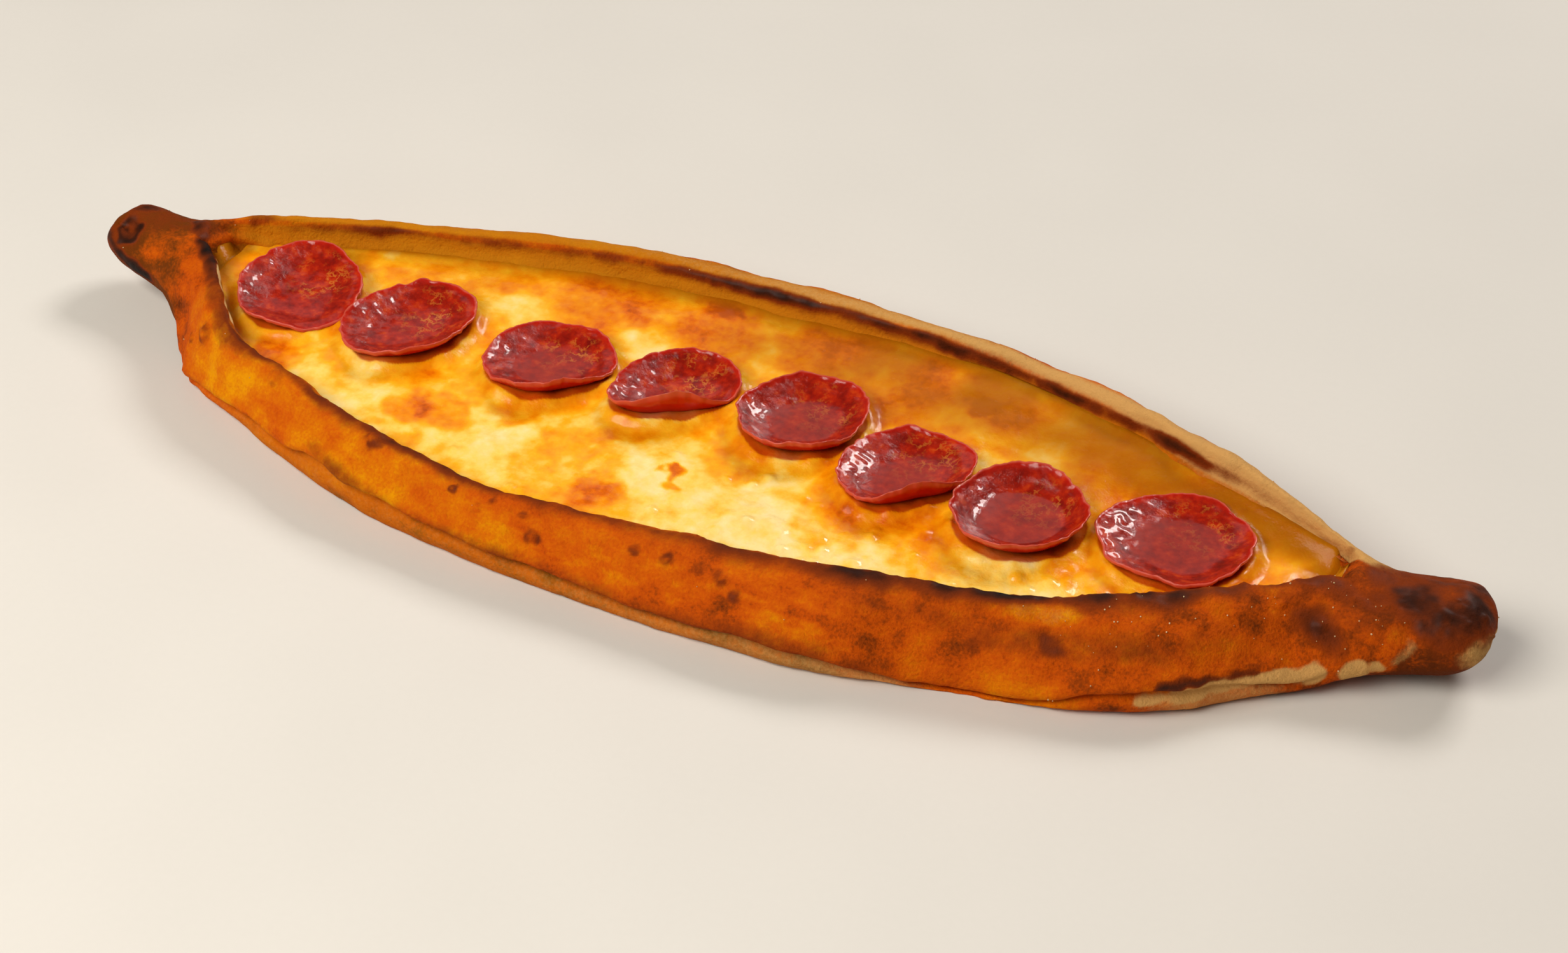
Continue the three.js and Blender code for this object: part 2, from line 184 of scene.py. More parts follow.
# ---- Marks on the dough ----
# Strength of the scorching along each crest, as [x, strength] stations.
NEAR_SCORCH = [
    [-188, 0], [-150, 0.2], [-138, 0.42], [-130, 0.6], [-118, 0.58], [-105, 0.46], [-90, 0.5], [-60, 0.54],
    [-20, 0.46], [20, 0.46], [44, 0.52], [54, 0.9], [66, 0.56], [76, 0.8], [92, 1.1], [100, 0.56],
    [110, 0.74], [127, 0.7], [136, 0.5], [150, 0.5], [160, 0.4], [170, 0.3], [188, 0.3],
]
FAR_SCORCH = [
    [-188, 0], [-160, 0.05], [-150, 0.15], [-137, 0.3], [-126, 0.34], [-116, 0.55], [-106, 0.3],
    [-97, 0.3], [-89, 0.42], [-76, 0.25], [-67, 0.42], [-44, 0.5], [-38, 0.55], [-31, 0.62],
    [-20, 0.6], [-8, 0.85], [9, 0.72], [26, 0.7], [50, 0.66], [87, 0.66], [106, 0.66], [115, 0.4],
    [124, 0.24], [143, 0.2], [151, 0.3], [156, 0.05], [188, 0],
]
# How far baked the flaps are, from golden (0) to red-brown (1), along the boat. The rise at the left neck and
# towards the right end is partly painted shade.
BAKE_AND_SHADE = [
    [-188, 1.35], [-172, 1.3], [-162, 1.18], [-148, 0.8], [-134, 0.42], [-100, 0.38], [-50, 0.54],
    [0, 0.73], [45, 0.82], [90, 0.68], [140, 0.8], [165, 1.05], [188, 1.15],
]
# Folds that are both raised and golden, the gold partly painted highlight on their raised tops: a path over
# the left neck and one round the opening's left end.
NECK_FOLD = [(-170, -4, 18.5), (-165.4, -1.1, 20.1), (-161, -1.5, 21), (-158.8, 1.5, 21.4)]
LEFT_CORNER_FOLD = [(-156, 4.1, 19.5), (-155, 10.8, 18), (-150.8, 14.5, 16.4), (-145.9, 16.3, 14.2)]
# Blisters: place on the skin and radius.
BLISTERS = [
    (-136.3, -27.6, 16.4, 2.6), (-141.9, -25.7, 12.3, 1.3), (-107.5, -38.3, 19, 2.3),
    (-72.4, -47.9, 18.2, 2.7), (-47, -54.7, 16.5, 1.3), (-39.1, -57, 15, 1.3),
    (-35.8, -55.2, 17.1, 1.3), (-30.7, -55.8, 17, 1.3), (-27.1, -56.4, 16.6, 1.1),
    (-23.2, -59.2, 13.4, 1.9), (2.6, -55.9, 16.3, 1.6), (11.3, -56.1, 16.6, 1.7),
    (19.2, -56.1, 16.5, 1.4), (25.3, -56.2, 16.1, 2), (29.9, -58.4, 14.1, 1.5),
    (153.1, -12.6, 16.8, 2.1), (-166.8, 3.7, 20, 1.7),
]
# Scorched strokes away from the crests: path, width, strength.
SCORCHED = [
    ([(-162, 7.5, 21.5), (-157, 2, 22), (-152.1, -3, 22.3)], 3, 0.95),
    ([(-152.1, -3, 22.3), (-147.2, -7.2, 22.3), (-142, -13, 22)], 3, 0.76),
    ([(-144, -11, 22), (-137.9, -19.3, 22), (-133.8, -23.2, 21.5), (-129, -27, 21)], 3.8, 0.5),
    ([(-180.5, 7, 21), (-177.5, 9, 21.5)], 4.5, 0.8),
    ([(-174, 10, 20), (-165, 9, 20), (-158, 9.5, 19.5)], 3.4, 0.34),
    ([(-186.5, 0, 18), (-183, -3.6, 16), (-178, -5.4, 13), (-171, -6.6, 10.8)], 3.3, 1.05),
    ([(-129, -29, 20.4), (-123, -31.2, 20.8), (-118, -32, 20)], 4.5, 0.42),
    ([(-166.8, 3.7, 20.2), (-164, 4.2, 20.4)], 3.2, 0.32),
    ([(-150, 17, 21), (-141, 19, 22)], 3, 0.36),
    ([(-172, 3, 21), (-165, 0, 20)], 5, 0.2),
    ([(84, -46, 13), (97, -43.5, 14.5), (106, -42, 14.5), (120, -36.5, 15.5)], 5.5, 0.34),
    ([(99, -43.5, 15), (102, -43.5, 14.5)], 3.2, 0.6),
    ([(50, -51, 16), (66, -50, 17), (80, -47, 17)], 5, 0.22),
    ([(122, -36, 14), (134, -26, 15)], 5.5, 0.28),
    ([(150, -15, 19.5), (153.1, -12.6, 16.8), (156, -13, 12.5)], 6, 0.52),
    ([(144, -10, 21.5), (158, -2, 21.5)], 6, 0.34),
    ([(152, -4, 21.5), (164, -3, 20.5)], 6, 0.4),
    ([(125.5, -41, 9.9), (130, -37.5, 9.7)], 2.1, 0.72),
    ([(129, -38.5, 9.8), (137, -32.5, 9.6)], 1.6, 0.66),
    ([(136, -33.5, 9.6), (143.5, -26, 9.5)], 1.2, 0.55),
    ([(141, -27, 11), (149, -20.5, 12.5)], 1.4, 0.4),
    ([(171, 1, 21.5), (179, -3, 19.5), (184, 2, 19.5)], 9, 0.85),
    ([(163, 5, 21), (172, 7, 22), (184, 9, 21)], 7.5, 0.62),
    ([(156, -9, 20), (172, -8, 16)], 8, 0.26),
    ([(-184, 3, 19), (-172, 6, 20)], 10, 0.3),
    ([(-168, -5, 15), (-158, -10, 13)], 8, 0.14),
    ([(180, -6, 14), (184, -6, 12)], 4, 0.35),
    ([(141, 12.8, 20), (147, 12, 20), (152, 10, 20.5)], 2, 0.42),
    ([(118, -44.5, 8), (127, -41.5, 7.5)], 3, 0.3),
]
# How pale the outer far rim and the base are, along the boat.
PALE_RIM = [[-188, 0], [-120, 0], [-60, 0.22], [0, 0.6], [80, 1.1], [120, 1.5], [158, 1.2], [170, 0]]
PALE_BASE = [[-188, 0.25], [-40, 0.25], [40, 0.46], [70, 0.6], [188, 0.42]]
# Pale, barely baked strokes: path, width, strength.
PALE = [
    ([(122, -42.5, 5.6), (128, -39.8, 6.2), (133, -37, 6.6)], 1.8, 1.2),
    ([(130, -37.8, 6), (138, -32, 6.6), (146, -25.5, 7), (154.2, -19.5, 7.6)], 3.3, 1.5),
    ([(161.4, -15.1, 7.9), (162.4, -14.6, 7.8)], 4, 1.5),
    ([(166.2, -12.4, 8.7), (166.6, -12.3, 8.7)], 2.2, 1.2),
    ([(170.5, -10.8, 11), (173, -9.6, 15)], 2.4, 0.5),
    ([(91, -41.3, 20.1), (97.5, -40.1, 20.1), (103, -37.4, 20.4)], 2.6, 0.3),
    ([(187, -6, 13), (188.3, -1, 15), (187.5, 7, 13)], 5, 0.7),
    ([(-186, -2, 8), (-170, -6.5, 3), (-158, -13, 1.2)], 2.6, 0.9),
]
# How golden the inner wall is, along the boat.
GOLD_INSIDE = [[-150, 0.85], [-60, 0.85], [20, 0.65], [100, 0.45]]
# Bright golden strokes, the two along the neck and left corner folds partly painted highlight on their raised
# tops: path, width, strength.
GOLDEN_AND_HIGHLIT = [
    (NECK_FOLD, 4, 0.5),
    (LEFT_CORNER_FOLD, 2, 0.9),
    ([(-136, -29, 14), (-130, -32, 13)], 9, 0.6),
    ([(-122, -36.5, 14), (-117, -38, 14)], 8, 0.5),
    ([(-152, 15, 19), (-144, 19.5, 18), (-134, 23, 18)], 4, 0.7),
    ([(90, -41.3, 20.1), (97.5, -40.1, 20.1), (104, -37.4, 20.4)], 3, 1.1),
    ([(168, -12, 9), (170, -9.7, 15.4), (171.7, -6.7, 18.4)], 3.4, 1),
]
# The cut face inside the hood, as a stroke.
CUT_FACE = [([(-147.5, -4, 21), (-143.5, -9, 21), (-137, -17, 20.5), (-131.5, -23, 20.3)], 3, 1.3)]
# Raised folds: path, width, height.
FOLDS = [
    (NECK_FOLD, 3, 0.7),
    ([(-168, -6.5, 17.5), (-163, -5, 19), (-158, -4.5, 20.5)], 2.4, -0.5),
    (LEFT_CORNER_FOLD, 2.2, 0.9),
    ([(-154.5, 7, 16), (-151.5, 12, 14.5), (-146, 14.6, 12.5)], 2.4, -1.2),
    ([(-160, 8, 21.5), (-154, 0, 22), (-147, -6.5, 22.3), (-138, -18, 22)], 2.6, 0.6),
    ([(-141.5, -29.5, 4), (-139.5, -29.5, 3.4)], 2.6, 0.9),
    ([(122, -42.5, 11.5), (132, -36.5, 11.3), (146, -25, 11)], 3.5, 0.7),
    ([(123, -41.5, 9), (133, -35.5, 8.6), (147, -24, 8.8)], 2, -0.7),
    ([(171, -10.8, 10), (173, -10, 14), (172, -7, 18)], 2.5, -0.5),
    ([(160, -15, 8), (164, -14, 8)], 4, 0.6),
    ([(150, -15.5, 19.5), (154, -14, 17)], 4, 0.6),
]
# Height of the lap's lower edge over the plain crease, as a share of the way up the flap.
LAP = [[-150, 0], [-125, 0], [-112, -0.1], [-101, -0.35], [-96, 0.1], [-91, 0.55], [-82, 0.3],
       [-70, 0], [-52, -0.1], [-20, 0.1], [10, -0.1], [45, 0.1], [70, 0]]

# ---- Marks on the cheese ----
# How bubbly its near side is, along the boat.
BUBBLY = [[-150, 0], [-90, 0.3], [-30, 0.5], [10, 1], [100, 1], [130, 0]]
# Browned and creamy areas, the last four browned spots painted warm shade: x, y, radius, strength.
TOASTED_AND_SHADED = [
    (-75.6, -28.8, 7, 0.3), (-65.7, -27, 7, 0.28), (-20.7, 31.4, 12, 0.24), (-24.7, 43, 6, 0.34),
    (4.5, 33.2, 10, 0.24), (15.5, 38.6, 9, 0.22), (37.2, 35.4, 10, 0.3), (34.5, 21.8, 7, 0.24),
    (53.2, 30.2, 4.5, 0.48), (62.1, 31.6, 7, 0.3), (37.8, -26, 9, 0.22), (62.7, -27, 8, 0.2),
    (-4.5, -24.3, 2.6, 0.75), (-17.3, -37.2, 6, 0.3), (-2, -28.5, 2.2, 0.35), (90, 20, 9, 0.2),
    (120, 22, 10, 0.2), (-50, 33, 14, 0.16), (-32, -26, 9, 0.24), (-118, -25, 7, 0.3),
    # These four spots lie just in front of slices 3 to 6, where the slices shade the cheese: painted warm
    # shade.
    (8, -14, 8, 0.26), (-24, -12, 7, 0.24), (-50, -18, 6, 0.18), (44, -20, 7, 0.14),
]
CREAMY = [
    (-100, -24, 16, 0.5), (-82, -36, 12, 0.7), (-50, -34, 20, 0.6), (-20, -16, 20, 0.75),
    (10, -28, 24, 0.85), (38, -38, 16, 0.9), (60, -36, 16, 1), (82, -30, 14, 1),
    (-72, 18, 9, 0.6), (-36, 20, 8, 0.6), (0, 20, 7, 0.5), (30, 8, 5, 0.5), (72, 14, 9, 0.45),
    (-105, 12, 8, 0.5), (62, 12, 5, 0.6),
]

# ---- Fat lying in the slices: slice number and depth over its middle ----
POOLS = {3: 0.35, 5: 0.8, 6: 0.4, 7: 1.3, 8: 0.75}
NO_POOL = -9  # a level far under any slice
POOL_ROUGHNESS = 0.07

# ---- Stage ----
FLOOR_HALF = 2.5  # half the floor's width in metres
# Name, azimuth, elevation, distance and size in metres, power in watts, colour.
LIGHTS = [
    ("window", 162, 41, 2.0, (0.85, 0.5), 22, (1.0, 0.96, 0.92)),
    ("front fill", -26, 48, 1.1, (0.8, 0.6), 11.5, (1.0, 0.95, 0.87)),
    ("back fill", 208, 40, 1.2, (0.9, 0.5), 0.7, (1.0, 0.95, 0.95)),
]
ROOM_COLOUR, ROOM_BRIGHTNESS = (1.0, 0.92, 0.8, 1.0), 0.1


# ---- Number tools ----
def smooth(low, high, x):
    """A soft step from 0 at low to 1 at high."""
    t = np.clip((np.asarray(x, float) - low) / (high - low), 0, 1)
    return t * t * (3 - 2 * t)


def blend(a, b, share):
    """The value that lies a share of the way from a to b."""
    return a + (b - a) * share


def plateau(x, rise, fall):
    """A level stretch of height 1 that rises softly over one range of x and falls over another."""
    return smooth(*rise, x) * (1 - smooth(*fall, x))


def bell(x, middle, width):
    """A smooth hump of height 1."""
    return np.exp(-(((x - middle) / width) ** 2))


def through(stations, x):
    """A smooth curve through [x, value] stations, read at every x."""
    knots, values = np.array(stations, float).T
    slopes = np.diff(values) / np.diff(knots)
    tangents = np.concatenate([slopes[:1], (slopes[:-1] + slopes[1:]) / 2, slopes[-1:]])
    at = np.clip(x, knots[0], knots[-1])
    i = np.clip(np.searchsorted(knots, at, side="right") - 1, 0, len(slopes) - 1)
    step = knots[i + 1] - knots[i]
    t = (at - knots[i]) / step
    t2, t3 = t ** 2, t ** 3
    return ((2 * t3 - 3 * t2 + 1) * values[i] + (t3 - 2 * t2 + t) * step * tangents[i]
            + (3 * t2 - 2 * t3) * values[i + 1] + (t3 - t2) * step * tangents[i + 1])


def ripple(x, phase):
    """An uneven wave between about -1 and 1, different for each phase."""
    return (0.5 * np.sin(x / 13 + 1.7 * phase) + 0.32 * np.sin(x / 6.1 + 2.9 * phase)
            + 0.18 * np.sin(x / 3.7 + 4.3 * phase))


def cloud(points, size, seed, octaves=3):
    """Uneven values between about -1 and 1 in space, in lumps about size wide."""
    total = np.zeros(points.shape[:-1])
    weights = 0.5 ** np.arange(octaves)
    for octave, weight in enumerate(weights):
        lattice = np.random.default_rng(100 * seed + octave).uniform(-1, 1, (32, 32, 32))
        place = points / (size * 0.5 ** octave) + 7.31 * seed
        cell = np.floor(place).astype(int)
        share = place - cell
        share = share * share * (3 - 2 * share)
        for corner in np.ndindex(2, 2, 2):
            pick = (cell + corner) % 32
            part = np.prod(np.where(corner, share, 1 - share), axis=-1)
            total += weight * part * lattice[pick[..., 0], pick[..., 1], pick[..., 2]]
    return total / np.sqrt((weights ** 2).sum()) * 1.4


def warped(points, size, reach, seed):
    """The points moved about unevenly, for marks with ragged outlines."""
    moves = [cloud(points, size, seed + axis, 2) for axis in range(3)]
    return points + reach * np.stack(moves, axis=-1)


def away_from_path(points, path):
    """Distance of every point from a line through the path's points."""
    nearest = np.full(points.shape[:-1], np.inf)
    for a, b in zip(np.array(path[:-1], float), np.array(path[1:], float)):
        run = b - a
        t = np.clip((points - a) @ run / (run @ run), 0, 1)
        nearest = np.minimum(nearest, np.linalg.norm(points - a - t[..., None] * run, axis=-1))
    return nearest


def strokes(points, brushes):
    """The strongest of several soft strokes, given as path, width and strength, at every point."""
    paint = np.zeros(points.shape[:-1])
    for path, width, strength in brushes:
        share = away_from_path(points, path) / width
        paint = np.maximum(paint, strength * np.clip(1 - share ** 2, 0, 1))
    return paint


def dabs(x, y, spots):
    """The sum of soft round spots, given as x, y, radius and strength, read in plan."""
    paint = np.zeros(np.shape(x))
    for spot_x, spot_y, radius, strength in spots:
        share = np.hypot(x - spot_x, y - spot_y) / radius
        paint = paint + strength * smooth(1.3, 0.6, share)
    return paint


# ---- Mesh tools ----
def loft(rings):
    """Points and faces of a closed skin over equal rings of points, with a fan over each end."""
    count, around = rings.shape[:2]
    grid = np.arange(count * around).reshape(count, around)
    here, there = grid[:-1], grid[1:]
    quads = np.stack([here, there, np.roll(there, -1, axis=1), np.roll(here, -1, axis=1)], axis=-1)
    faces = quads.reshape(-1, 4).tolist()
    first = count * around
    for j in range(around):
        after = (j + 1) % around
        faces.append((first, j, after))
        faces.append((first + 1, int(grid[-1, after]), int(grid[-1, j])))
    points = np.vstack([rings.reshape(-1, 3), rings[0].mean(axis=0), rings[-1].mean(axis=0)])
    return points, faces


def with_ends(values):
    """A value for every point of loft, from a grid of values for its rings."""
    return np.concatenate([values.ravel(), [values[0].mean(), values[-1].mean()]])


def outward(rings):
    """Outward unit normals of a lofted grid of points."""
    along = np.gradient(rings, axis=0)
    around = np.roll(rings, -1, axis=1) - np.roll(rings, 1, axis=1)
    normal = np.cross(along, around)
    return normal / np.maximum(np.linalg.norm(normal, axis=-1, keepdims=True), 1e-9)


def mesh_piece(name, points, faces, material, masks=None):
    """A smooth mesh object from points in millimetres, with one named number per point for each mask."""
    mesh = bpy.data.meshes.new(name)
    mesh.from_pydata((points * MM).tolist(), [], faces)
    mesh.shade_smooth()
    for mask, values in (masks or {}).items():
        mesh.attributes.new(mask, "FLOAT", "POINT").data.foreach_set("value", values.astype("f"))
    mesh.materials.append(material)
    piece = bpy.data.objects.new(name, mesh)
    bpy.context.scene.collection.objects.link(piece)
    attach(piece, "root")
    return piece


# ---- The dough ----
SIDES = [
    {"inward": 1, "edge": NEAR_EDGE, "crest": NEAR_CREST, "top": NEAR_TOP, "crease": NEAR_CREASE,
     "cheese": CHEESE_LINE_NEAR, "inner_lean": 0.6, "phase": 1},
    {"inward": -1, "edge": FAR_EDGE, "crest": FAR_CREST, "top": FAR_TOP, "crease": FAR_CREASE,
     "cheese": CHEESE_LINE_FAR, "inner_lean": 2.4, "phase": 6},
]


def openness(x):
    """How far the boat is open, from 0 at the pinched ends to 1."""
    return plateau(x, OPENING_LEFT, OPENING_RIGHT)


def folded_half(side, x):
    """Sections of one half, from the underside up the base, over the flap and down to the floor."""
    inward, phase = side["inward"], side["phase"]
    opened = openness(x)
    edge = through(side["edge"], x)
    scale = np.minimum(1, (through(FAR_EDGE, x) - through(NEAR_EDGE, x)) / FULL_WIDTH)
    wall = np.minimum(1, np.abs(through(FAR_CREST, x) - through(NEAR_CREST, x)) / FULL_OPENING)
    uneven = opened * scale
    crest = through(side["crest"], x) + 0.8 * uneven * ripple(x, phase)
    top = through(side["top"], x) + 0.6 * uneven * ripple(x, phase + 1)
    crease = through(side["crease"], x) + 0.7 * uneven * ripple(x, phase + 2)
    swell = 0.7 * uneven * ripple(x, phase + 3)
    depth = (top - DOUGH_FLOOR) * opened
    keys = [
        (edge + inward * 9 * scale, 0 * x),  # the flat underside
        (edge + inward * 2.4 * scale, 1.4 + 0 * x),
        (edge + inward * 0.5 * scale, 0.55 * crease),  # the side of the base
        (edge + inward * 2 * scale, crease),  # CREASE_AT
        (edge + inward * 0.2 * scale, crease + 2.2),  # the lip over the crease
        (blend(edge, crest, 0.3), blend(crease, top, 0.6) + swell),
        (blend(edge, crest, 0.6), blend(crease, top, 0.9) + swell / 2),
        (blend(edge, crest, 0.85), top),  # the top of the flap
        (crest, top - 1.2 * opened),  # CREST_AT
        (crest + inward * 0.8 * wall, top - np.minimum(depth, 4.5)),
        (crest + inward * side["inner_lean"] * wall,
         top - np.minimum(depth, top - through(side["cheese"], x))),  # CHEESE_AT
        (crest + inward * 3.4 * wall, top - depth),  # the foot of the inner wall
    ]
    return np.array(keys).transpose(2, 0, 1)


def crust_keys(x):
    """The 26 key points round the whole section at every station x, as x, y and z."""
    roll = 1 - plateau(x, (-PINCH_FROM, -PINCH_TO), (PINCH_TO, PINCH_FROM))
    past = np.maximum(0, 1 - (HALF_LENGTH - np.abs(x)) / TIP_LENGTH)
    blunt = np.where(x < 0, TIP_BLUNT_LEFT, TIP_BLUNT_RIGHT)
    cap = (1 - past ** blunt) ** (1 / blunt)
    low = through(UNDERSIDE, x)
    top = (through(NEAR_TOP, x) + through(FAR_TOP, x)) / 2
    middle = (through(NEAR_EDGE, x) + through(FAR_EDGE, x)) / 2
    half = (through(FAR_EDGE, x) - through(NEAR_EDGE, x)) / 2
    centre, tall = (top + low) / 2, (top - low) / 2
    column = (slice(None), None)
    angles = np.radians(ROLL_ANGLES)
    halves = []
    for side in SIDES:
        folded = folded_half(side, x)
        roll_y = middle[column] - side["inward"] * half[column] * np.sin(angles)
        roll_z = centre[column] - tall[column] * np.cos(angles)
        y = blend(folded[..., 0], roll_y, roll[column])
        z = blend(folded[..., 1] + low[column], roll_z, roll[column])
        halves.append(np.stack([y, z], axis=-1))
    floor_y = blend((through(NEAR_CREST, x) + through(FAR_CREST, x)) / 2, middle, roll)
    floor_z = blend(top - (top - DOUGH_FLOOR) * openness(x), top, roll)
    floor = np.stack([floor_y, floor_z], axis=-1)[:, None]
    bottom = np.stack([middle, low], axis=-1)[:, None]
    section = np.concatenate([halves[0], floor, halves[1][:, ::-1], bottom], axis=1)
    hub = np.stack([middle, centre], axis=-1)[:, None]
    section = hub + (section - hub) * cap[:, None, None]
    return np.concatenate([np.broadcast_to(x[:, None, None], section.shape[:2] + (1,)), section], axis=-1)


def rings_through(keys):
    """Rings on the smooth closed curves through the keys, and each ring point's key position.

    The position runs from -1 at the middle of the underside over 3 at the crease, 8 at the crest
    and 10 at the cheese to 12 at the middle of the dough floor, alike on both sides.
    """
    count = keys.shape[1]
    steps = SPAN_POINTS + SPAN_POINTS[::-1] + [BASE_POINTS, BASE_POINTS]
    rings, place = [], []
    for i, pieces in enumerate(steps):
        before, start, end, after = (keys[:, (i + k) % count] for k in (-1, 0, 1, 2))
        rise, fall = (end - before) / 2, (after - start) / 2
        for t in np.arange(pieces) / pieces:
            rings.append(start + rise * t + (3 * (end - start) - 2 * rise - fall) * t ** 2
                         + (2 * (start - end) + rise + fall) * t ** 3)
            mirrored = 2 * FLOOR_AT - (i + t)
            place.append(i + t if i < FLOOR_AT else mirrored if i <= 2 * FLOOR_AT else t - 1)
    rings = np.stack(rings, axis=1)
    rings[..., 2] = np.maximum(rings[..., 2], 0)
    return rings, np.array(place)


def press_eye(points):
    """Push the burnt hollow into the left knob."""
    away = np.linalg.norm(points - EYE_AT, axis=-1) / EYE_RADIUS
    share = np.clip(1 - away ** 2, 0, 1) ** 2
    middle = (through(NEAR_EDGE, points[..., 0]) + through(FAR_EDGE, points[..., 0])) / 2
    core = np.stack([points[..., 0], middle, np.full_like(middle, KNOB_MIDDLE)], axis=-1) - points
    core /= np.maximum(np.linalg.norm(core, axis=-1, keepdims=True), 1e-6)
    return points + core * (EYE_DEPTH * share)[..., None]


def above_lap(place, x, far):
    """How far up the flap a point is from the lap's lower edge, in key positions."""
    return place - CREASE_AT - through(LAP, x) * ~far


def ragged_skin(points):
    """The points as the single strokes on the dough see them, moved about to fray the strokes."""
    return warped(points, 4, 0.8, 15)


def scorch_mask(points, place, far):
    """How strongly the dough is scorched: along its crests, under its lap, in strokes and spots."""
    x = points[..., 0]
    patchy, flecked = cloud(points, 9, 11), cloud(points, 3.6, 12, 2)
    uneven = 1 + 0.22 * patchy + 0.16 * flecked
    burnt_at = np.where(far, CREST_AT + 0.4 * smooth(0, 60, x), CREST_AT - 0.85)
    from_crest = place - burnt_at - 0.1 * flecked
    outward_width = np.where(far, 0.45, 0.95) * (1 + 0.25 * patchy)
    band = np.where(from_crest < 0, bell(from_crest, 0, outward_width), bell(from_crest, 0, 0.75))
    crests = band * np.where(far, through(FAR_SCORCH, x), through(NEAR_SCORCH, x))
    lap = above_lap(place, x, far)
    lobes = plateau(x, (-94, -86), (58, 84)) * ~far
    under_lap = lobes * (0.3 * bell(lap, 0.95, 0.42) + 0.15 * bell(lap, 0.5, 0.3))
    eye = np.linalg.norm(warped(points, 4, 1.5, 19) - EYE_AT, axis=-1)
    burnt_eye = 0.6 * bell(eye, 3.6, 1.4) + 0.62 * bell(eye, 0, 1.7) + 0.48 * bell(eye, 0, 7.5)
    bands = np.maximum(crests, under_lap) * uneven
    marks = np.maximum(strokes(ragged_skin(points), SCORCHED), burnt_eye) * uneven
    blisters = blister_spots(warped(points, 1.6, 0.45, 17)) * (1 + 0.5 * cloud(points, 1.8, 18, 1))
    return np.max([bands, marks, blisters * uneven], axis=0)


def pale_mask(points, place, far):
    """Where the dough is pale: its base, the outer far rim and single strokes."""
    x = points[..., 0]
    hidden = plateau(x, (66, 84), (114, 132)) * ~far
    base = smooth(0.05, -0.3, above_lap(place, x, far)) * openness(x) * (1 - hidden)
    rim_at = 6.9 + 0.25 * smooth(0, 60, x) + 0.45 * smooth(80, 120, x)
    rim = bell(place, rim_at, 1 + 0.8 * smooth(80, 120, x)) * far
    return np.max([through(PALE_BASE, x) * base, through(PALE_RIM, x) * rim,
                   strokes(ragged_skin(points), PALE)], axis=0)


def near_base(x, place, far):
    """1 on the near side below the lap, fading to 0 elsewhere."""
    return smooth(0.2, -0.2, above_lap(place, x, far)) * ~far


def gold_mask(points, place, far):
    """Where the dough is golden: its inner walls, left end, outer far side and near base."""
    x = points[..., 0]
    opened = openness(x)
    inside = smooth(7.9, 8.4, place) * opened * through(GOLD_INSIDE, x)
    left_end = 0.24 * smooth(-148, -160, x)
    outside = far * plateau(place, (5, 6.3), (7.5, 7.9)) * opened * (1 - smooth(20, 110, x))
    base = near_base(x, place, far) * plateau(x, (-150, -110), (40, 80))
    return np.max([inside, left_end, 0.7 * outside, 0.45 * base], axis=0)


def cream_mask(points, place, far):
    """Where the dough is creamy: the cut face inside the hood, in uneven patches."""
    face = strokes(warped(points, 3, 0.9, 15), CUT_FACE)
    near_crest = plateau(place, (7.6, 7.9), (8.8, 9.3)) * ~far
    return face * near_crest * (0.72 + 0.5 * cloud(points, 2.2, 13, 2))


def bake_shade_and_highlight_mask(points, place, far):
    """How far the dough is baked, from golden (0) to red-brown (1), with painted shade at the left neck and
    the right end and painted highlight on golden folds.
    """
    x = points[..., 0]
    uneven = 0.19 * cloud(points, 9, 16) + 0.14 * cloud(points * (0.22, 1, 1), 4, 14)
    scuffed = bell(place, 4.8, 0.9) * plateau(x, (-50, -20), (40, 90)) * ~far
    scuffs = scuffed * np.clip(0.2 + cloud(points * (0.35, 1, 1), 1.8, 13), 0, 1)
    # Golden strokes, on the neck and left corner folds partly painted highlight on their raised tops.
    golden = strokes(ragged_skin(points), GOLDEN_AND_HIGHLIT)
    base = near_base(x, place, far) * (1 - smooth(20, 60, x))
    return through(BAKE_AND_SHADE, x) + uneven - 0.32 * scuffs - 0.4 * golden + 0.26 * base


def crust_masks(points, place, far):
    """Where the dough is scorched, pale, golden or creamy, and how far it is baked, the baking darker at the
    left neck and right end partly as painted shade and lighter on raised folds partly as painted highlight.
    """
    cream = cream_mask(points, place, far)
    return {"scorch": scorch_mask(points, place, far) * (1 - np.clip(cream, 0, 1)),
            "pale": pale_mask(points, place, far), "gold": gold_mask(points, place, far),
            "cream": cream, "bake_shade_and_highlight": bake_shade_and_highlight_mask(points, place, far)}


def blister_spots(points):
    """Browned rings round the blisters, lighter on top: a painted highlight."""
    spots = np.zeros(points.shape[:-1])
    for *middle, radius in BLISTERS:
        away = np.linalg.norm(points - middle, axis=-1) / radius
        strength = 0.3 + 0.03 * radius
        spots = np.maximum(spots, strength * smooth(1.9, 0.5, away) - 0.17 * smooth(0.75, 0.1, away))
    return spots


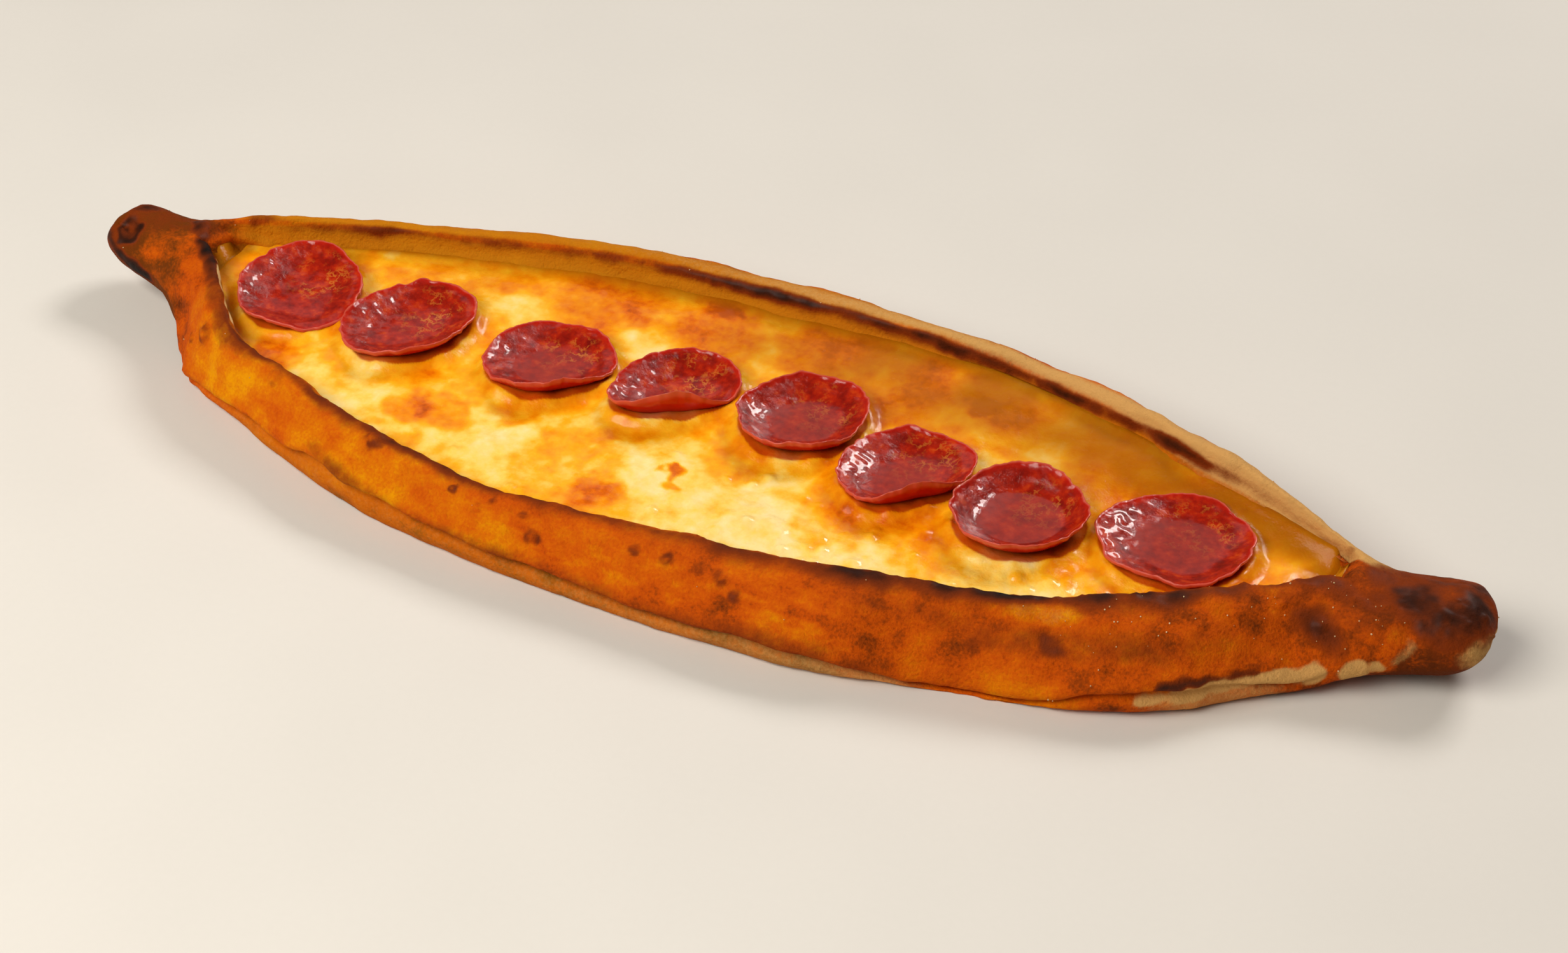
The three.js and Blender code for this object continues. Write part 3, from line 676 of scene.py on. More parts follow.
def crust_relief(points, place, far, masks):
    """How far the skin stands out from the plain dough: lumps, blisters, folds, char and the lap."""
    x = points[..., 0]
    opened = openness(x)
    relief = 0.5 * cloud(points, 15, 1) + 0.16 * cloud(points, 5, 2) + 0.05 * cloud(points, 1.7, 3)
    relief += 0.28 * cloud(points * (0.2, 1, 1), 4.5, 6) * opened
    relief += 0.1 * np.clip(masks["scorch"], 0, 1) * cloud(points, 2.1, 4)
    lap = above_lap(place, x, far)
    lobed = opened * (1 - 0.6 * smooth(68, 80, x) * ~far)
    relief += (0.85 * bell(lap, 0.85, 0.45) - 1.3 * bell(lap, 0, 0.26)) * lobed
    relief += 0.3 * bell(place, 7.6, 0.8) * cloud(points, 4, 5)
    pimples = np.clip(cloud(points, 2.3, 7, 1) - 0.62, 0, 1) * smooth(60, 105, x) * ~far
    relief += 0.9 * pimples * smooth(4, 5, place)
    for path, width, height in FOLDS:
        share = away_from_path(points, path) / width
        relief += height * np.clip(1 - share ** 2, 0, 1) ** 2
    for *middle, radius in BLISTERS:
        away = np.linalg.norm(points - middle, axis=-1) / radius
        relief += radius * (0.3 * np.clip(1 - away ** 2, 0, 1) ** 1.4 - 0.07 * bell(away, 1.15, 0.25))
    return relief * smooth(0.3, 2, place)


def make_crust(material):
    """The dough. The results are its points, their key positions and which lie on the far side."""
    share = np.linspace(-1, 1, CRUST_STATIONS)
    x = (HALF_LENGTH - END_GAP) * blend(share, np.sin(np.pi / 2 * share), STATIONS_TO_ENDS)
    rings, place = rings_through(crust_keys(x))
    rings = press_eye(rings)
    place = np.broadcast_to(place, rings.shape[:2])
    far = np.zeros(rings.shape[:2], bool)
    far[:, sum(SPAN_POINTS):-BASE_POINTS] = True
    masks = crust_masks(rings, place, far)
    relief = crust_relief(rings, place, far, masks)
    rings = rings + outward(rings) * relief[..., None]
    rings[..., 2] = np.maximum(rings[..., 2], 0)
    points, faces = loft(rings)
    masks = {name: with_ends(values) for name, values in masks.items()}
    crust = mesh_piece("baked_crust", points, faces, material, masks)
    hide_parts("crust")
    return rings, place, far


def make_speck():
    """Points and faces of a rough ball: two rings of five points and a tip at either end."""
    ball = [(math.cos(t) * math.cos(e), math.sin(t) * math.cos(e), math.sin(e))
            for e in (-0.6, 0.6) for t in np.arange(5) * 2 * math.pi / 5 + (0.6 if e > 0 else 0)]
    faces = []
    for k in range(5):
        after = (k + 1) % 5
        faces += [(k, after, 5 + k), (after, 5 + after, 5 + k), (10, after, k), (11, 5 + k, 5 + after)]
    return np.array(ball + [(0, 0, -1), (0, 0, 1)]), faces


def make_flour_and_glints(material, rings, place, far):
    """Specks of flour and crumb stuck to the skin, mostly on the right of the near flap, where their pale
    colour also stands in for small glints: painted highlights.
    """
    random = np.random.default_rng(5)
    normals = outward(rings)
    chance = (plateau(rings[..., 0], (84, 112), (163, 172)) * bell(place, 6, 2) * ~far
              + 0.05 * plateau(place, (3.5, 5), (8, 9)))
    chance = (chance / chance.sum()).ravel()
    chosen = random.choice(chance.size, FLOUR_AND_GLINT_SPECKS, replace=False, p=chance)
    speck, speck_faces = make_speck()
    points, faces = [], []
    for number, pick in enumerate(chosen):
        size = random.uniform(*FLOUR_AND_GLINT_RADII) * random.uniform(0.7, 1.2, 3)
        centre = rings.reshape(-1, 3)[pick] + 0.1 * normals.reshape(-1, 3)[pick]
        points.append(centre + speck * size)
        faces += [tuple(len(speck) * number + corner for corner in face) for face in speck_faces]
    mesh_piece("flour_specks_and_glints", np.concatenate(points), faces, material)


# ---- The slices ----
def lift_of(slice_):
    """How much higher a leaning slice stands, so that its low side still rests on the cheese."""
    return 0.6 * slice_["along"] * math.tan(math.radians(slice_["lean"]))


def slice_rise(slice_, share, angle):
    """Rise of a slice over its own middle, at a share of its radius."""
    facing = np.cos(angle - math.radians(slice_["fold_to"]))
    fold = np.maximum(0, (share * facing - 0.32) / 0.68)
    slope = math.tan(math.radians(slice_["lean"])) * np.cos(angle - math.radians(LEAN_TO))
    return slice_["cup"] * share ** 3.5 + slice_["fold"] * fold ** 2 + slice_["along"] * slope * share


def slice_reach(slice_, number, share, angle):
    """Distance from a slice's middle, in plan, of the point at a share of its radius."""
    own = angle - math.radians(slice_["turn"])
    along, across = slice_["along"], slice_["across"]
    oval = along * across / np.hypot(across * np.cos(own), along * np.sin(own))
    wavy = 1 + 0.022 * np.sin(3 * angle + 2.1 * number) + 0.014 * np.sin(5 * angle + 4.7 * number)
    facing = np.maximum(0, share * np.cos(angle - math.radians(slice_["fold_to"])) - 0.3)
    return oval * wavy * share * (1 - 0.03 * slice_["fold"] * facing ** 2)


def slice_points(slice_, number, share, angle, thick):
    """Points of a slice: share of the radius, angle in plan, height above its lower face."""
    reach = slice_reach(slice_, number, share, angle)
    rise = slice_rise(slice_, share, angle) + 0.35 * share ** 3 * np.sin(4 * angle + number)
    x = slice_["x"] + reach * np.cos(angle)
    y = slice_["y"] + reach * np.sin(angle)
    z = SLICE_REST + lift_of(slice_) + np.maximum(rise, -2) + thick
    return np.stack([x, y, z], axis=-1)


def slice_grid():
    """Share of the radius, angle and share of the thickness, from a slice's lower to its upper middle."""
    angle = -2 * np.pi * np.arange(SLICE_SIDES) / SLICE_SIDES
    under = np.linspace(0.03, SLICE_SOLE, SLICE_UNDER_RINGS)
    upper = np.linspace(0.99, 0.02, SLICE_TOP_RINGS)
    share = np.concatenate([under, [1.004, 1.008, 1.004], upper])
    full = 1 - 0.42 * smooth(0.8, 1, upper)
    rim = np.array([0.3, 0.5, 0.75]) * full[0]
    height = np.concatenate([np.zeros_like(under), rim, full])
    return np.broadcast_arrays(share[:, None], angle[None, :], height[:, None])


def roughen(rings, number, share, angle, on_top, wrinkled):
    """Fray a slice's rim and raise pebbles and wrinkles on its faces."""
    shift = np.array((31.0, 17.0, 5.0)) * number
    spread = np.stack([rings[..., 0], rings[..., 1], 0 * share], axis=-1) + shift
    rim = smooth(0.78, 1, share)
    ragged = rim * (0.5 * cloud(spread, 4.2, 21) + 0.16 * cloud(spread, 1.3, 22))
    rings[..., 0] += ragged * np.cos(angle)
    rings[..., 1] += ragged * np.sin(angle)
    pebbles = wrinkled * (0.3 * cloud(spread, 2.9, 23, 2) + 0.14 * cloud(spread, 1.5, 24, 1))
    rings[..., 2] += pebbles * (0.25 + 0.75 * on_top) + 0.45 * rim * cloud(spread, 6, 25)


def fill_pool(rings, number, on_top):
    """Fill a slice's hollow with fat. The result is how far each point lay under its level."""
    level = rings[-1, :, 2].mean() + POOLS.get(number, NO_POOL)
    sunk = (level - rings[..., 2]) * on_top
    rings[..., 2] += (sunk + np.sqrt(sunk ** 2 + 0.1 * on_top)) / 2
    return sunk


def fleck_mask(rings, slice_, on_top):
    """Where the veins of fat show: a soft round patch beside a slice's middle."""
    fleck_x = slice_["x"] + 0.17 * slice_["along"]
    fleck_y = slice_["y"] + 0.36 * slice_["along"]
    away = np.hypot(rings[..., 0] - fleck_x, rings[..., 1] - fleck_y) / (0.6 * slice_["along"])
    return np.clip(1 - away ** 2, 0, 1) * on_top


def make_slice(slice_, number, material):
    """One curled slice: pebbled meat, thin at its ragged rim."""
    share, angle, height = slice_grid()
    on_top = smooth(0.4, 0.9, height)
    wrinkled = 0.18 + 0.82 * smooth(0.1, 0.65, -share * np.cos(angle))
    rings = slice_points(slice_, number, share, angle, SLICE_THICKNESS * height)
    roughen(rings, number, share, angle, on_top, wrinkled)
    sunk = fill_pool(rings, number, on_top)
    # The rim mask also gets a painted highlight along the edge, and faces off the upper one a painted brighter
    # red.
    masks = {"rim": smooth(0.96, 0.995, share), "upper": on_top, "wet": smooth(-0.2, 0.5, sunk),
             "fleck": fleck_mask(rings, slice_, on_top), "wrinkle": wrinkled * on_top}
    points, faces = loft(rings)
    masks = {name: with_ends(values) for name, values in masks.items()}
    piece = mesh_piece(f"sausage_slice_{number}", points, faces, material, masks)
    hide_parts(f"sucuk_{number}")


# ---- The cheese ----
def cheese_lumps(x, y):
    """Height of the lumps of the bare cheese."""
    return CHEESE_LUMP * (0.45 * np.sin(x / 9.3 + y / 14 + 1.1) * np.sin(y / 8.1 - x / 31 + 0.4)
                          + 0.35 * np.sin(x / 5.2 - y / 7.7) + 0.25 * np.sin(y / 4.6 + x / 19 + 2))


def press_slices(x, y, z, grip):
    """Fit the cheese under the slices and let it climb their sides, up to grip over its own level.

    The second result is how close each point lies to a slice: 1 at a slice's rim.
    """
    closest = np.full_like(z, 9.0)
    for number, slice_ in enumerate(SLICES, 1):
        dx, dy = x - slice_["x"], y - slice_["y"]
        angle = np.arctan2(dy, dx)
        reach = slice_reach(slice_, number, 1.0, angle)
        share = np.hypot(dx, dy) / reach
        under = slice_points(slice_, number, np.minimum(share, SLICE_SOLE), angle, 0)[..., 2] + 0.15
        beneath = np.minimum(z + grip, under)
        climb = np.minimum(grip, under - z)
        climb = climb * bell(np.maximum(share - SLICE_SOLE, 0) * reach, 0, np.where(climb > 0, 2.2, 0.8))
        fitted = np.where(share < SLICE_SOLE, beneath, z + climb)
        z = np.where(share < 1.6, fitted, z)
        closest = np.minimum(closest, share)
    return z, closest


def cheese_bubbles(x, y):
    """Height of the small domes left by bubbles, mostly on the near right of the cheese."""
    random = np.random.default_rng(8)
    height = np.zeros_like(x)
    for _ in range(BUBBLES):
        bubble_x, bubble_y = random.triangular(-80, 70, 135), random.uniform(-46, -4)
        radius = random.uniform(1.3, 2.5)
        away = np.hypot(x - bubble_x, y - bubble_y) / radius
        height = np.maximum(height, 0.3 * radius * np.clip(1 - away ** 2, 0, 1) ** 2)
    return height


def cheese_climb(across):
    """How far the cheese has climbed towards its far edge, from 0 to 1."""
    return smooth(0.25, 1.05, across)


def cheese_height(plan, across, half_width, bubbly):
    """Height of the cheese, and how close every point lies to a slice."""
    x, y = plan[..., 0], plan[..., 1]
    edge = blend(through(CHEESE_LINE_NEAR, x), through(CHEESE_LINE_FAR, x), cheese_climb(across))
    z = edge + (CHEESE_SWELL + cheese_lumps(x, y)) * (1 - across ** 4)
    z = z + (0.3 * cloud(plan, 9, 31, 1) + 0.16 * cloud(plan, 4, 32, 1)) * (1 - across ** 6)
    z = z + (0.05 + 0.14 * bubbly) * cloud(plan, 2.8, 38, 1)
    z = z + cheese_bubbles(x, y) * smooth(0, -0.3, across) * smooth(-0.97, -0.85, across)
    to_wall = (1 - np.abs(across)) * half_width
    z = z + 0.9 * bell(np.maximum(to_wall - 1, 0), 0, 1.9)
    z, closest = press_slices(x, y, z, 1.6 + 0.5 * cloud(plan, 5, 33, 2))
    ends = smooth(CHEESE_LEFT + 4, CHEESE_LEFT, x) + smooth(CHEESE_RIGHT - 4.5, CHEESE_RIGHT, x)
    return z - CHEESE_DIVE * ends, closest


def toast_and_shade_mask(plan, across, closest):
    """How toasted the cheese is, from creamy (0) to browned (1), with painted warm shade round and in front of
    the slices.
    """
    ragged = warped(plan, 3.5, 1.8, 37)
    creamy = np.clip(dabs(plan[..., 0], plan[..., 1], CREAMY), 0, 1)
    spots = dabs(ragged[..., 0], ragged[..., 1], TOASTED_AND_SHADED)
    uneven = 0.12 * cloud(plan, 12, 34, 1) + 0.09 * cloud(plan, 5, 35, 2)
    # The ring round the slices warms the cheese where the slices shade it: painted warm shade.
    return (0.42 - 0.3 * creamy + 0.08 * cheese_climb(across) + spots
            + 0.12 * bell(closest, 1.2, 0.25) + uneven)


def wall_brown_and_shade_mask(plan, across):
    """How brown the cheese is where it climbs the far wall and at its two ends, and how much painted shade
    darkens it towards the back and the right.
    """
    x = plan[..., 0]
    # Darker towards the back of the boat and towards its right end: painted shade.
    shaded = smooth(0.1, 0.8, across) * (0.25 + 0.75 * smooth(-60, 80, x))
    shaded = shaded * (1 + 0.35 * cloud(plan, 14, 39, 2))
    ends = smooth(-146, -151, x) + smooth(138, 148, x)
    return np.max([smooth(0.86, 1, across), 0.85 * shaded, 0.8 * ends], axis=0)


def make_cheese(material):
    """The melted cheese, from the dough floor to its lumpy top."""
    keys = crust_keys(np.linspace(CHEESE_LEFT, CHEESE_RIGHT, CHEESE_STATIONS))
    near = keys[:, CHEESE_AT, 1:2] - CHEESE_OVERLAP
    far = keys[:, 2 * FLOOR_AT - CHEESE_AT, 1:2] + CHEESE_OVERLAP
    share = np.linspace(1, 0, CHEESE_COLUMNS)
    y = blend(near, far, share)
    across = np.broadcast_to(2 * share - 1, y.shape)
    plan = np.stack([np.broadcast_to(keys[:, CHEESE_AT, :1], y.shape), y, 0 * y], axis=-1)
    bubbly = smooth(-0.3, -0.65, across) * through(BUBBLY, plan[..., 0])
    z, closest = cheese_height(plan, across, (far - near) / 2, bubbly)
    top = plan + z[..., None] * (0, 0, 1)
    bottom = keys[:, [FLOOR_AT - 1, FLOOR_AT + 1]] + (0, 0, 0.4)
    points, faces = loft(np.concatenate([top, bottom], axis=1))
    # The toast mask also carries painted warm shade round the slices.
    masks = {"toast_and_shade": toast_and_shade_mask(plan, across, closest),
             "halo": smooth(1.015, 0.955, closest + 0.015 * cloud(plan, 3, 36)),
             # The wall mask also carries painted shade towards the back and the right.
             "wall": wall_brown_and_shade_mask(plan, across), "bubbly": bubbly}
    for name, values in masks.items():
        masks[name] = with_ends(np.concatenate([values, values[:, -1:], values[:, :1]], axis=1))
    cheese = mesh_piece("melted_cheese", points, faces, material, masks)
    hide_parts("cheese")


# ---- Shader tools ----
def tint(code):
    """An opaque colour from six hexadecimal digits, as shaders take it."""
    parts = [int(code[i:i + 2], 16) / 255 for i in (0, 2, 4)]
    return (*(c / 12.92 if c <= 0.04045 else ((c + 0.055) / 1.055) ** 2.4 for c in parts), 1.0)


class Nodes:
    """Short ways to add linked nodes to one node tree."""

    def __init__(self, tree):
        self.tree = tree

    def feed(self, sockets, values):
        """Give sockets their values by name: each a plain value or another node's output."""
        for name, value in values.items():
            if isinstance(value, bpy.types.NodeSocket):
                self.tree.links.new(value, sockets[name])
            else:
                sockets[name].default_value = value

    def add(self, kind, inputs, **settings):
        """A new node with its inputs fed and its settings made."""
        node = self.tree.nodes.new(kind)
        for name, value in settings.items():
            setattr(node, name, value)
        self.feed(node.inputs, inputs)
        return node

    def math(self, operation, a, b=0.0, c=0.0):
        """One arithmetic step on up to three values."""
        return self.add("ShaderNodeMath", {0: a, 1: b, 2: c}, operation=operation).outputs[0]

    def step(self, value, low, high, to_low=0.0, to_high=1.0):
        """A soft step from to_low where the value is low to to_high where it is high."""
        inputs = {"Value": value, "From Min": low, "From Max": high, "To Min": to_low, "To Max": to_high}
        return self.add("ShaderNodeMapRange", inputs, interpolation_type="SMOOTHSTEP").outputs[0]

    def blend(self, a, b, share):
        """The value that lies a share of the way from a to b."""
        return self.add("ShaderNodeMix", {0: share, 2: a, 3: b}, data_type="FLOAT").outputs[0]

    def mix(self, a, b, share):
        """The colour that lies a share of the way from a to b."""
        return self.add("ShaderNodeMix", {0: share, 6: a, 7: b}, data_type="RGBA").outputs[2]

    def tinted(self, colour, code, share):
        """A colour with a share of the colour of a code in it."""
        return self.mix(colour, tint(code), share)

    def mask(self, name):
        """The mesh's own number for every point, by its mask's name."""
        return self.add("ShaderNodeAttribute", {}, attribute_name=name).outputs["Fac"]

    def ramp(self, value, stops):
        """A colour that follows a value through stops of position and colour code."""
        node = self.add("ShaderNodeValToRGB", {"Fac": value})
        elements = node.color_ramp.elements
        while len(elements) < len(stops):
            elements.new(0.5)
        for element, (position, code) in zip(elements, stops):
            element.position = position
            element.color = tint(code)
        return node.outputs["Color"]

    def place(self):
        """Where a point is on the piece, in metres."""
        return self.add("ShaderNodeTexCoord", {}).outputs["Object"]

    def noise(self, size, detail=3.0, roughness=0.55):
        """Soft noise in lumps about size millimetres wide."""
        inputs = {"Vector": self.place(), "Detail": detail, "Roughness": roughness,
                  "Scale": self.math("DIVIDE", 1 / MM, size)}
        return self.add("ShaderNodeTexNoise", inputs).outputs["Fac"]

    def placed(self, group, inputs):
        """The outputs of a shared node group, placed with its own values."""
        return self.add("ShaderNodeGroup", inputs, node_tree=group).outputs


def new_group(name, inputs, outputs):
    """An empty shader node group; inputs and outputs are name: value, a tuple making a colour."""
    tree = bpy.data.node_groups.new(name, "ShaderNodeTree")
    for way, sockets in (("INPUT", inputs), ("OUTPUT", outputs)):
        for socket, value in sockets.items():
            kind = "NodeSocketColor" if isinstance(value, tuple) else "NodeSocketFloat"
            made = tree.interface.new_socket(socket, in_out=way, socket_type=kind)
            made.default_value = value
    nodes = Nodes(tree)
    return tree, nodes, nodes.add("NodeGroupInput", {}).outputs, nodes.add("NodeGroupOutput", {}).inputs


def scorching_group():
    """Browns a colour and then blackens it, with a grainy edge."""
    tree, nodes, given, out = new_group(
        "Scorching", {"Colour": WHITE, "Amount": 0.0, "Grain size": 1.2}, {"Colour": WHITE, "Burnt": 0.0})
    grain = nodes.noise(given["Grain size"], 4.0, 0.65)
    uneven = nodes.math("MULTIPLY_ADD", grain, 0.22, -0.11)
    amount = nodes.math("ADD", given["Amount"], uneven)
    browned = nodes.tinted(given["Colour"], "80320a", nodes.step(amount, 0.08, 0.5))
    dark = nodes.tinted(browned, "3c1808", nodes.step(amount, 0.4, 0.85))
    burnt = nodes.step(amount, 0.75, 1.15)
    nodes.feed(out, {"Colour": nodes.tinted(dark, "130c0b", burnt), "Burnt": burnt})
    return tree


def mottle_group():
    """Two sizes of soft patches, about a middle of one half."""
    tree, nodes, given, out = new_group(
        "Mottle", {"Patch size": 6.0, "Fleck size": 1.5, "Fleck share": 0.4}, {"Value": 0.5})
    patches = nodes.noise(given["Patch size"], 1.5)
    flecks = nodes.noise(given["Fleck size"])
    nodes.feed(out, {"Value": nodes.blend(patches, flecks, given["Fleck share"])})
    return tree


def relief_group():
    """Fine relief of baked and melted skins: soft grain with small pits."""
    tree, nodes, given, out = new_group(
        "Fine relief", {"Grain size": 0.8, "Pit size": 1.6, "Pit depth": 0.4}, {"Height": 0.0})
    grain = nodes.noise(given["Grain size"], 5.0, 0.6)
    scale = nodes.math("DIVIDE", 1 / MM, given["Pit size"])
    cells = nodes.add("ShaderNodeTexVoronoi", {"Vector": nodes.place(), "Scale": scale}, feature="F1")
    pits = nodes.step(cells.outputs["Distance"], 0.0, 0.32, 1.0, 0.0)
    sunk = nodes.math("MULTIPLY", pits, given["Pit depth"])
    nodes.feed(out, {"Height": nodes.math("SUBTRACT", grain, sunk)})
    return tree


def oily_group():
    """Roughness of a surface with patches of oil on it."""
    tree, nodes, given, out = new_group(
        "Oily patches", {"Oil": 0.5, "Dry": 0.6, "Wet": 0.15, "Patch size": 3.0},
        {"Roughness": 0.4, "Wetness": 0.5})
    patches = nodes.noise(given["Patch size"], 4.0)
    wet = nodes.step(nodes.math("ADD", patches, given["Oil"]), 0.7, 1.25)
    nodes.feed(out, {"Roughness": nodes.blend(given["Dry"], given["Wet"], wet), "Wetness": wet})
    return tree


def new_material(name, **settings):
    """A material with a Principled shader; settings are its plain values."""
    material = bpy.data.materials.new(name)
    material.use_nodes = True
    shader = material.node_tree.nodes["Principled BSDF"]
    for socket, value in settings.items():
        shader.inputs[socket.replace("_", " ")].default_value = value
    return material, Nodes(material.node_tree), shader.inputs


def bump(nodes, height, depth):
    """The normal of a relief of the given height and depth in millimetres."""
    return nodes.add("ShaderNodeBump", {"Height": height, "Distance": depth * MM}).outputs["Normal"]


# ---- Materials ----
def dough_material(groups):
    """Baked dough: golden to red-brown, floury where it is pale, scorched along its crests, with painted shade
    at the left neck and right end and painted highlights on raised folds and blisters.
    """
    material, nodes, shader = new_material("baked dough", Specular_IOR_Level=0.05, Coat_Roughness=0.4)
    mottle = nodes.placed(groups["mottle"], {"Patch size": 5.0, "Fleck size": 0.8, "Fleck share": 0.5})
    uneven = nodes.math("MULTIPLY_ADD", mottle["Value"], 1.4, -0.7)
    # The baking mask also carries painted shade at the left neck and the right end, and painted highlight on
    # golden folds.
    bake_shade_and_highlight = nodes.math("ADD", nodes.mask("bake_shade_and_highlight"), uneven)
    colour = nodes.ramp(nodes.math("MULTIPLY", bake_shade_and_highlight, 0.8), [
        (0.0, "e69400"), (0.24, "da7402"), (0.48, "d05c04"), (0.66, "c44e04"), (0.8, "9e4006"),
        (1.0, "642a08")])
    colour = nodes.tinted(colour, "c27c10", nodes.step(nodes.mask("gold"), 0.1, 0.9, 0.0, 0.9))
    grains = nodes.math("MULTIPLY", nodes.noise(1.1, 5.0, 0.75), 0.7)
    pale = nodes.math("ADD", nodes.mask("pale"), grains)
    colour = nodes.tinted(colour, "d6a460", nodes.step(pale, 0.5, 1.25, 0.0, 0.92))
    colour = nodes.tinted(colour, "f0cc8a", nodes.step(nodes.mask("cream"), 0.1, 0.8))
    scorched = nodes.placed(groups["scorching"], {
        "Colour": colour, "Amount": nodes.mask("scorch"), "Grain size": 1.8})
    oily = nodes.placed(groups["oily"], {"Oil": 0.1, "Dry": 0.75, "Wet": 0.5, "Patch size": 4.0})
    relief = nodes.placed(groups["relief"], {"Grain size": 0.8, "Pit size": 2.2, "Pit depth": 0.3})
    nodes.feed(shader, {
        "Base Color": scorched["Colour"],
        "Roughness": nodes.math("MULTIPLY_ADD", scorched["Burnt"], -0.25, oily["Roughness"]),
        "Coat Weight": nodes.step(nodes.mask("scorch"), 0.3, 0.8, 0.0, 0.14),
        "Normal": bump(nodes, relief["Height"], 0.45)})
    return material


def cheese_material(groups):
    """Melted cheese: creamy, golden and toasted patches under a film of orange oil, with painted shade towards
    the back and painted warm shade round the slices.
    """
    material, nodes, shader = new_material(
        "melted cheese", Specular_IOR_Level=0.12, Coat_Roughness=0.08, Subsurface_Weight=0.25,
        Subsurface_Radius=(0.006, 0.003, 0.001), Subsurface_Scale=1.0)
    mottle = nodes.placed(groups["mottle"], {"Patch size": 8.0, "Fleck size": 2.4, "Fleck share": 0.4})
    uneven = nodes.math("MULTIPLY_ADD", mottle["Value"], 0.9, -0.45)
    # The toast mask also carries painted warm shade round the slices.
    toast_and_shade = nodes.math("ADD", nodes.mask("toast_and_shade"), uneven)
    speckle = nodes.math("MULTIPLY_ADD", nodes.noise(2.2, 3.0, 0.6), 0.6, -0.3)
    toast_and_shade = nodes.math("MULTIPLY_ADD", speckle, nodes.step(toast_and_shade, 0.45, 0.8), toast_and_shade)
    colour = nodes.ramp(toast_and_shade, [
        (0.0, "ffe298"), (0.2, "ffd25e"), (0.36, "fdb41c"), (0.56, "f29004"), (0.8, "e06a02"),
        (1.0, "b84c02")])
    colour = nodes.tinted(colour, "b02c08", nodes.step(nodes.mask("halo"), 0.0, 1.0, 0.0, 0.85))
    # Browner where the cheese meets the far wall and at its ends, and darker towards the back and the right as
    # painted shade.
    colour = nodes.tinted(colour, "ac6208", nodes.step(nodes.mask("wall"), 0.0, 1.0, 0.0, 0.85))
    scorched = nodes.placed(groups["scorching"], {
        "Colour": colour, "Amount": nodes.step(toast_and_shade, 1.05, 1.6, 0.0, 0.5), "Grain size": 0.9})
    oily = nodes.placed(groups["oily"], {"Oil": 0.42, "Dry": 0.28, "Wet": 0.1, "Patch size": 3.0})
    relief = nodes.placed(groups["relief"], {"Grain size": 2.2, "Pit size": 3.5, "Pit depth": 0.06})
    bubbly = nodes.mask("bubbly")
    bare = nodes.step(nodes.mask("wall"), 0.1, 0.7, 0.5, 0.05)
    gloss = nodes.math("MULTIPLY_ADD", bubbly, 0.5, bare)
    height = nodes.math("MULTIPLY", relief["Height"], nodes.math("MULTIPLY_ADD", bubbly, 0.3, 0.4))
    nodes.feed(shader, {
        "Base Color": scorched["Colour"],
        "Roughness": oily["Roughness"],
        "Coat Weight": nodes.math("MULTIPLY", oily["Wetness"], gloss),
        "Normal": bump(nodes, height, 0.7)})
    return material


def sausage_material(groups):
    """Cured sausage: deep red meat with fine orange veins of fat, glossy, thin and paler at its rim, where a
    painted highlight is added, and a brighter red painted underneath, where it lies in shade.
    """
    material, nodes, shader = new_material(
        "cured sausage", Specular_IOR_Level=0.34, Coat_Roughness=0.05, Subsurface_Weight=0.15,
        Subsurface_Radius=(0.004, 0.0008, 0.0004), Subsurface_Scale=1.0)
    mottle = nodes.placed(groups["mottle"], {"Patch size": 4.0, "Fleck size": 1.3, "Fleck share": 0.4})
    colour = nodes.ramp(mottle["Value"], [
        (0.32, "740a02"), (0.46, "941402"), (0.56, "ac2004"), (0.68, "c63e0a")])
    ridges = nodes.math("ABSOLUTE", nodes.math("SUBTRACT", nodes.noise(3.2, 4.0, 0.65), 0.5))
    patches = nodes.step(nodes.noise(5.0, 2.0), 0.42, 0.6, 0.0, 0.7)
    patches = nodes.math("MULTIPLY", patches, nodes.mask("fleck"))
    veins = nodes.math("MULTIPLY", nodes.step(ridges, 0.05, 0.01), patches)
    colour = nodes.tinted(colour, "d07a2a", veins)
    wet = nodes.mask("wet")
    fat = nodes.ramp(mottle["Value"], [(0.3, "801406"), (0.7, "a0260a")])
    colour = nodes.mix(colour, fat, nodes.math("MULTIPLY", wet, 0.7))
    # Off the upper face the meat is painted a brighter red, standing in for light glowing through it into its
    # shade: painted light.
    colour = nodes.tinted(colour, "c01a0a", nodes.step(nodes.mask("upper"), 0.0, 1.0, 0.9, 0.0))
    # A paler thin rim, partly the meat's own colour and partly a painted highlight along the edge.
    colour = nodes.tinted(colour, "dc7860", nodes.step(nodes.mask("rim"), 0.2, 1.0, 0.0, 0.42))
    oily = nodes.placed(groups["oily"], {"Oil": 0.6, "Dry": 0.34, "Wet": 0.16, "Patch size": 1.8})
    dry = nodes.math("MULTIPLY_ADD", wet, -0.85, 1.0)
    relief = nodes.placed(groups["relief"], {"Grain size": 1.1, "Pit size": 1.8, "Pit depth": 0.2})
    wrinkle = nodes.mask("wrinkle")
    height = nodes.math("MULTIPLY", nodes.math("MULTIPLY", relief["Height"], dry), wrinkle)
    over_pool = nodes.math("SUBTRACT", oily["Roughness"], POOL_ROUGHNESS)
    nodes.feed(shader, {
        "Base Color": colour,
        "Roughness": nodes.math("MULTIPLY_ADD", over_pool, dry, POOL_ROUGHNESS),
        "Coat Weight": nodes.math("MULTIPLY", oily["Wetness"], wrinkle),
        "Normal": bump(nodes, height, 0.4)})
    return material


